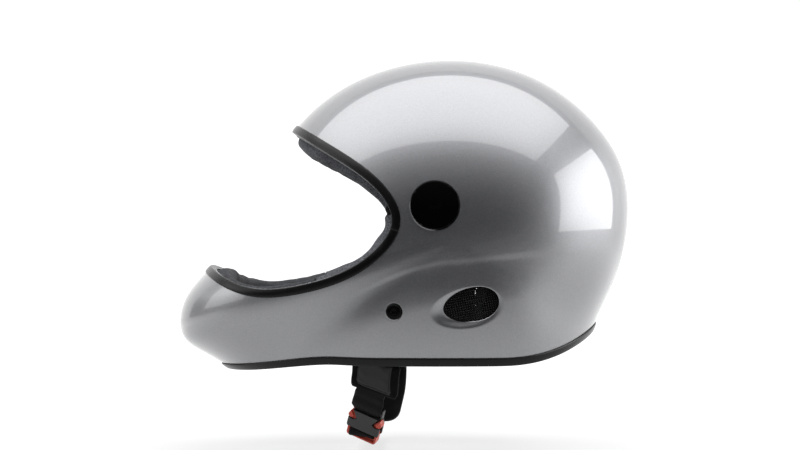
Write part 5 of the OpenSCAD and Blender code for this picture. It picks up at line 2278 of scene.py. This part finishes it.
@dataclass
class Buckle:
    """Socket, plug and the two release tabs."""

    width: float = 26.5
    height: float = 8.0
    bar: float = 86.0
    shoulder: float = 89.6
    mouth: float = 104.0
    wall: float = 1.5
    frame_end: float = 111.7
    pivot: float = 101.6
    prong_x: float = 9.25

    def build(self) -> list[Piece]:
        """Builds the buckle.

        Returns:
            Its pieces.
        """
        return [self._socket(), *self._plug(), self._prong(-1, "front"), self._prong(1, "rear")]

    def _socket(self) -> Piece:
        """The dark socket: its body, the two arms with the webbing's bar, its mouth and the tabs' notches.

        Returns:
            The socket.
        """
        place, w, h = STRAP_AXIS, self.width / 2, self.height / 2
        top, low, cavity = self.shoulder, self.mouth, h - self.wall
        half = [(10.4, top), (11.4, top + 0.4), (w - 0.2, top + 3.2), (w, top + 4.6), (w, low - 1.2),
                (w - 0.8, low)]
        body = prism(half + [(-x, s) for x, s in half[::-1]], -h, h, place)
        added = [block((-11.6, 11.6), (self.bar - 1.45, self.bar + 1.45), (-0.8, 0.8), place)]
        cut = [block((-w - 1, w + 1), (top + 0.8, low + 1), (-cavity, cavity), place)]
        for k in (-1, 1):
            arm = [(k * 10.85, self.bar - 3.1), (k * 11.5, self.bar - 3.1), (k * 11.9, self.bar - 2.2),
                   (k * 11.9, top + 2.0), (k * 10.85, top + 2.0)]
            added.append(prism(arm, -1.2, 3.4, place))
            notch = [(k * 10.6, top - 0.4), (k * 6.3, top + 6.1), (k * 9.3, top + 7.9), (k * 14.5, top + 6.6),
                     (k * 14.5, top - 0.4)]
            cut.append(prism(notch, -h - 1, cavity + 0.1, place))
        made = machined("socket", body, added, cut, BUCKLE_DARK.material(), 0.4)
        return dress(made, "chin_strap", "buckle_dark", "buckle_socket")

    def _plug(self) -> list[Piece]:
        """The red plug: a frame with a crossbar for the webbing and a tongue in the socket.

        Returns:
            The frame and its crossbar.
        """
        place, w = STRAP_AXIS, self.width / 2
        tongue, start, end = 2.15, self.mouth + 0.4, self.frame_end
        frame = [(-w + 1, start), (w - 1, start), (w - 1, end - 2), (w - 1.6, end - 0.6), (w - 3, end),
                 (-w + 3, end), (-w + 1.6, end - 0.6), (-w + 1, end - 2)]
        body = prism(frame, -2.8, 3.2, place)
        added = [block((-2.6, 2.6), (self.bar + 8, start), (-tongue, tongue), place),
                 block((-w + 1, w - 1), (self.pivot - 0.45, start + 0.8), (-tongue, tongue), place)]
        window = prism(rounded((-10.65, 10.65), (self.mouth - 0.5, end - 0.9), 0.9), -9, 9, place)
        bar = block((-11.2, 11.2), (106.95, 108.15), (-0.7, 0.7), place)
        made = machined("plug_frame", body, added, [window], BUCKLE_RED.material(), 0.3)
        dress(made, "plug", "buckle_red", "buckle_plug")
        rod = machined("plug_bar", bar, [], [], BUCKLE_RED.material(), 0.25)
        return [made, dress(rod, "plug", "buckle_red")]

    def _prong(self, k: int, word: str) -> Piece:
        """A release tab with its raised button, on its springy arm.

        Args:
            k: -1 for the front one, 1 for the rear one.
            word: Name of its place.

        Returns:
            The tab.
        """
        x, h, top = self.prong_x, 1.8, self.shoulder
        leaf = [(x - h, self.pivot - 0.9), (x + h, self.pivot - 0.9), (x + h, top + 7.6), (12.4, top + 6.9),
                (13.7, top + 5.7), (13.8, top + 4.2), (13.2, top + 2.6), (12.2, top + 1.25),
                (11.5, top + 1.1), (7.4, top + 6.1), (x - h, top + 7.4)]
        raised = [(13.7, top + 5.6), (13.75, top + 4.2), (13.1, top + 2.6), (12.2, top + 1.35),
                  (9.3, top + 5.2), (10.6, top + 6.6), (12.4, top + 6.6)]
        body = prism([(k * q, s) for q, s in leaf], -2.2, 2.15, STRAP_AXIS)
        button = prism([(k * q, s) for q, s in raised], -3.6, 0.0, STRAP_AXIS)
        made = machined(f"release_tab_{word}", body, [button], [], BUCKLE_RED.material(), 0.3)
        return dress(made, f"prong_{word}", "buckle_red", f"prong_{word}")


# Kept nodes

def finish_nodes() -> None:
    """Gives the washers, hanger plates and inserts of the frame their materials and soft edges."""
    for side in Side:
        for part, finish, edge in (("anchor_washers", STEEL, 0.12), ("hanger_plate", STEEL, 0.2),
                                   ("pivot_insert", BRASS, 0.15)):
            node = f"{part}_{side.word}"
            made = frame["nodes"][node]
            for place in made.material_slots:
                place.material = finish.material()
            if not made.material_slots:
                made.data.materials.append(finish.material())
            weld = made.modifiers.new("weld", "WELD")
            weld.merge_threshold = 1e-5
            soften = made.modifiers.new("edge", "BEVEL")
            soften.width, soften.segments, soften.limit_method = edge * MM, 2, "ANGLE"
            soften.angle_limit = math.radians(35)
            log.info("%s keeps its solid", node)


# The studio

@dataclass
class Studio:
    """Floor, backdrop, lamps, world and camera."""

    distance: float = 1.750
    across: float = -0.0314
    level: float = 0.1045
    lens: float = 100.3
    floor: float = -0.0705

    def build(self) -> None:
        """Builds the studio."""
        self._camera()
        self._surround()
        self._world()
        self._lamps()
        bpy.context.scene.view_settings.view_transform = "Standard"

    def _camera(self) -> None:
        """Adds the camera at the photograph's angle."""
        data = bpy.data.cameras.new("camera")
        data.sensor_width, data.lens, data.clip_start = 36.0, self.lens, 0.05
        made = bpy.data.objects.new("camera", data)
        made.matrix_world = Matrix(((0, 0, 1, self.distance), (1, 0, 0, self.across), (0, 1, 0, self.level),
                                    (0, 0, 0, 1)))
        bpy.context.scene.collection.objects.link(made)
        bpy.context.scene.camera = made

    @staticmethod
    def _white(name: str, seen: tuple[float, float, float], lit: tuple[float, float, float]) -> Material:
        """A surface that glows white to the camera and to reflections, with painted shade in its glow: dimmer
        towards the camera's side and, where seen is below 1, near the helmet.

        Args:
            name: Name of the material.
            seen: Colour that it shows by itself.
            lit: Colour that takes the light and the shadows.

        Returns:
            The material.
        """
        made = bpy.data.materials.new(name)
        made.use_nodes = True
        nodes = Nodes(made.node_tree)
        shader = made.node_tree.nodes["Principled BSDF"]
        place = nodes.add("ShaderNodeTexCoord").outputs["Object"]
        cloudy = nodes.span(nodes.noise(place, 3.0, 2.0), 0.3, 0.7, 0.99, 1.0)
        away = nodes.add("ShaderNodeSeparateXYZ", {0: place}).outputs[0]
        # Painted shade: the glow and the lit colour fall off towards the camera's side, so that the helmet
        # reflects a darker floor there.
        fall = nodes.span(away, 0.15, 0.75, 1.0, 0.2)
        far = nodes.add("ShaderNodeVectorMath", {0: place}, operation="LENGTH").outputs["Value"]
        # Painted shade: where seen is below 1, the surface glows dimmer within about 0.35 m of the helmet and
        # full white beyond 1 m.
        rise = nodes.times(nodes.span(far, 0.35, 1.0, 1.0, 1.0 / seen[0]), fall)
        cloudy = nodes.times(cloudy, fall)
        tone = nodes.add("ShaderNodeMix", {0: 1.0, 6: (*lit, 1.0)}, data_type="RGBA", blend_type="MULTIPLY")
        made.node_tree.links.new(cloudy, tone.inputs[7])
        made.node_tree.links.new(tone.outputs[2], shader.inputs["Base Color"])
        shader.inputs["Roughness"].default_value = 0.9
        shader.inputs["Specular IOR Level"].default_value = 0.0
        path = nodes.add("ShaderNodeLightPath")
        bent = nodes.math("MAXIMUM", path.outputs["Is Glossy Ray"], path.outputs["Is Transmission Ray"])
        direct = nodes.math("MAXIMUM", path.outputs["Is Camera Ray"], bent)
        glow = nodes.blend(direct, (0.0, 0.0, 0.0, 1.0), (*seen, 1.0))
        made.node_tree.links.new(glow, shader.inputs["Emission Color"])
        made.node_tree.links.new(rise, shader.inputs["Emission Strength"])
        return made

    def _surround(self) -> None:
        """Adds the floor and the backdrop."""
        z = self.floor / MM
        floor = Form().add([(-3000, -4000, z), (3000, -4000, z), (3000, 4000, z), (-3000, 4000, z)],
                           [(0, 1, 2, 3)])
        back = Form().add([(-3000, -4000, -400), (-3000, 4000, -400), (-3000, 4000, 3600),
                           (-3000, -4000, 3600)], [(0, 1, 2, 3)])
        made = [floor.piece("floor", self._white("floor_white", (0.72, 0.72, 0.72), (0.25, 0.25, 0.25))),
                back.piece("backdrop", self._white("backdrop_white", (1.0, 1.0, 1.0), (0.6, 0.6, 0.6)))]

    @staticmethod
    def _world() -> None:
        """Sets a soft surround, paler above and behind, darker low down in front and on the camera's side."""
        world = bpy.data.worlds.new("surround")
        world.use_nodes = True
        bpy.context.scene.world = world
        nodes = Nodes(world.node_tree)
        back = world.node_tree.nodes["Background"]
        way = nodes.add("ShaderNodeSeparateXYZ", {0: nodes.add("ShaderNodeTexCoord").outputs["Generated"]})
        front = nodes.span(way.outputs[0], 0.30, 0.85)
        up = nodes.span(way.outputs[2], 0.35, 0.85)
        ahead = nodes.span(way.outputs[1], -0.1, -0.4)
        low = nodes.times(nodes.span(way.outputs[2], 0.30, 0.16), ahead)
        middle = nodes.times(nodes.span(way.outputs[2], 0.16, 0.30), ahead)
        dim = nodes.blend(nodes.span(way.outputs[0], -0.5, 0.3), (0.45, 0.45, 0.455, 1.0),
                          (0.15, 0.15, 0.152, 1.0))
        side = nodes.blend(middle, (0.66, 0.66, 0.67, 1.0), (1.0, 1.0, 1.0, 1.0))
        side = nodes.blend(front, nodes.blend(low, side, dim), (0.085, 0.085, 0.09, 1.0))
        color = nodes.blend(up, side, (0.55, 0.55, 0.56, 1.0))
        world.node_tree.links.new(color, back.inputs[0])
        back.inputs[1].default_value = 1.0

    @staticmethod
    def _lamp(name: str, place: Sequence[float], aim: Sequence[float], size: Pair,
              power: float) -> None:
        """Adds a soft box.

        Args:
            name: Its name.
            place: Where it stands, in metres.
            aim: What it points at, in metres.
            size: Its width and height, in metres.
            power: Its power in watts.
        """
        data = bpy.data.lights.new(name, "AREA")
        data.shape, data.size, data.size_y, data.energy = "RECTANGLE", *size, power
        made = bpy.data.objects.new(name, data)
        at = Vector(place)
        facing = (Vector(aim) - at).to_track_quat("-Z", "Y").to_matrix().to_4x4()
        made.matrix_world = Matrix.Translation(at) @ facing
        bpy.context.scene.collection.objects.link(made)

    def _lamps(self) -> None:
        """Adds the overhead, rear and front soft boxes."""
        self._lamp("overhead", (0.1, -0.13, 1.2), (0.1, -0.13, 0.0), (1.4, 2.45), 26.0)
        self._lamp("rear", (0.025, 1.2, 0.45), (0.025, 0.0, 0.45), (1.25, 0.9), 12.5)
        self._lamp("front", (0.1, -1.6, 0.6), (0.0, -0.05, 0.08), (1.0, 0.9), 4.0)


def main() -> None:
    """Builds and dresses the helmet, piece by piece."""
    logging.basicConfig(level=logging.INFO, format="%(name)s: %(message)s")
    Studio().build()
    Shell().build()
    EdgeTrim("face_trim", True, joint=turn_of(0.435)).build()
    EdgeTrim("rim_trim", False).build()
    Lining().build()
    SideParts().build()
    finish_nodes()
    Strap().build()
    Buckle().build()


if __name__ == "__main__":
    main()
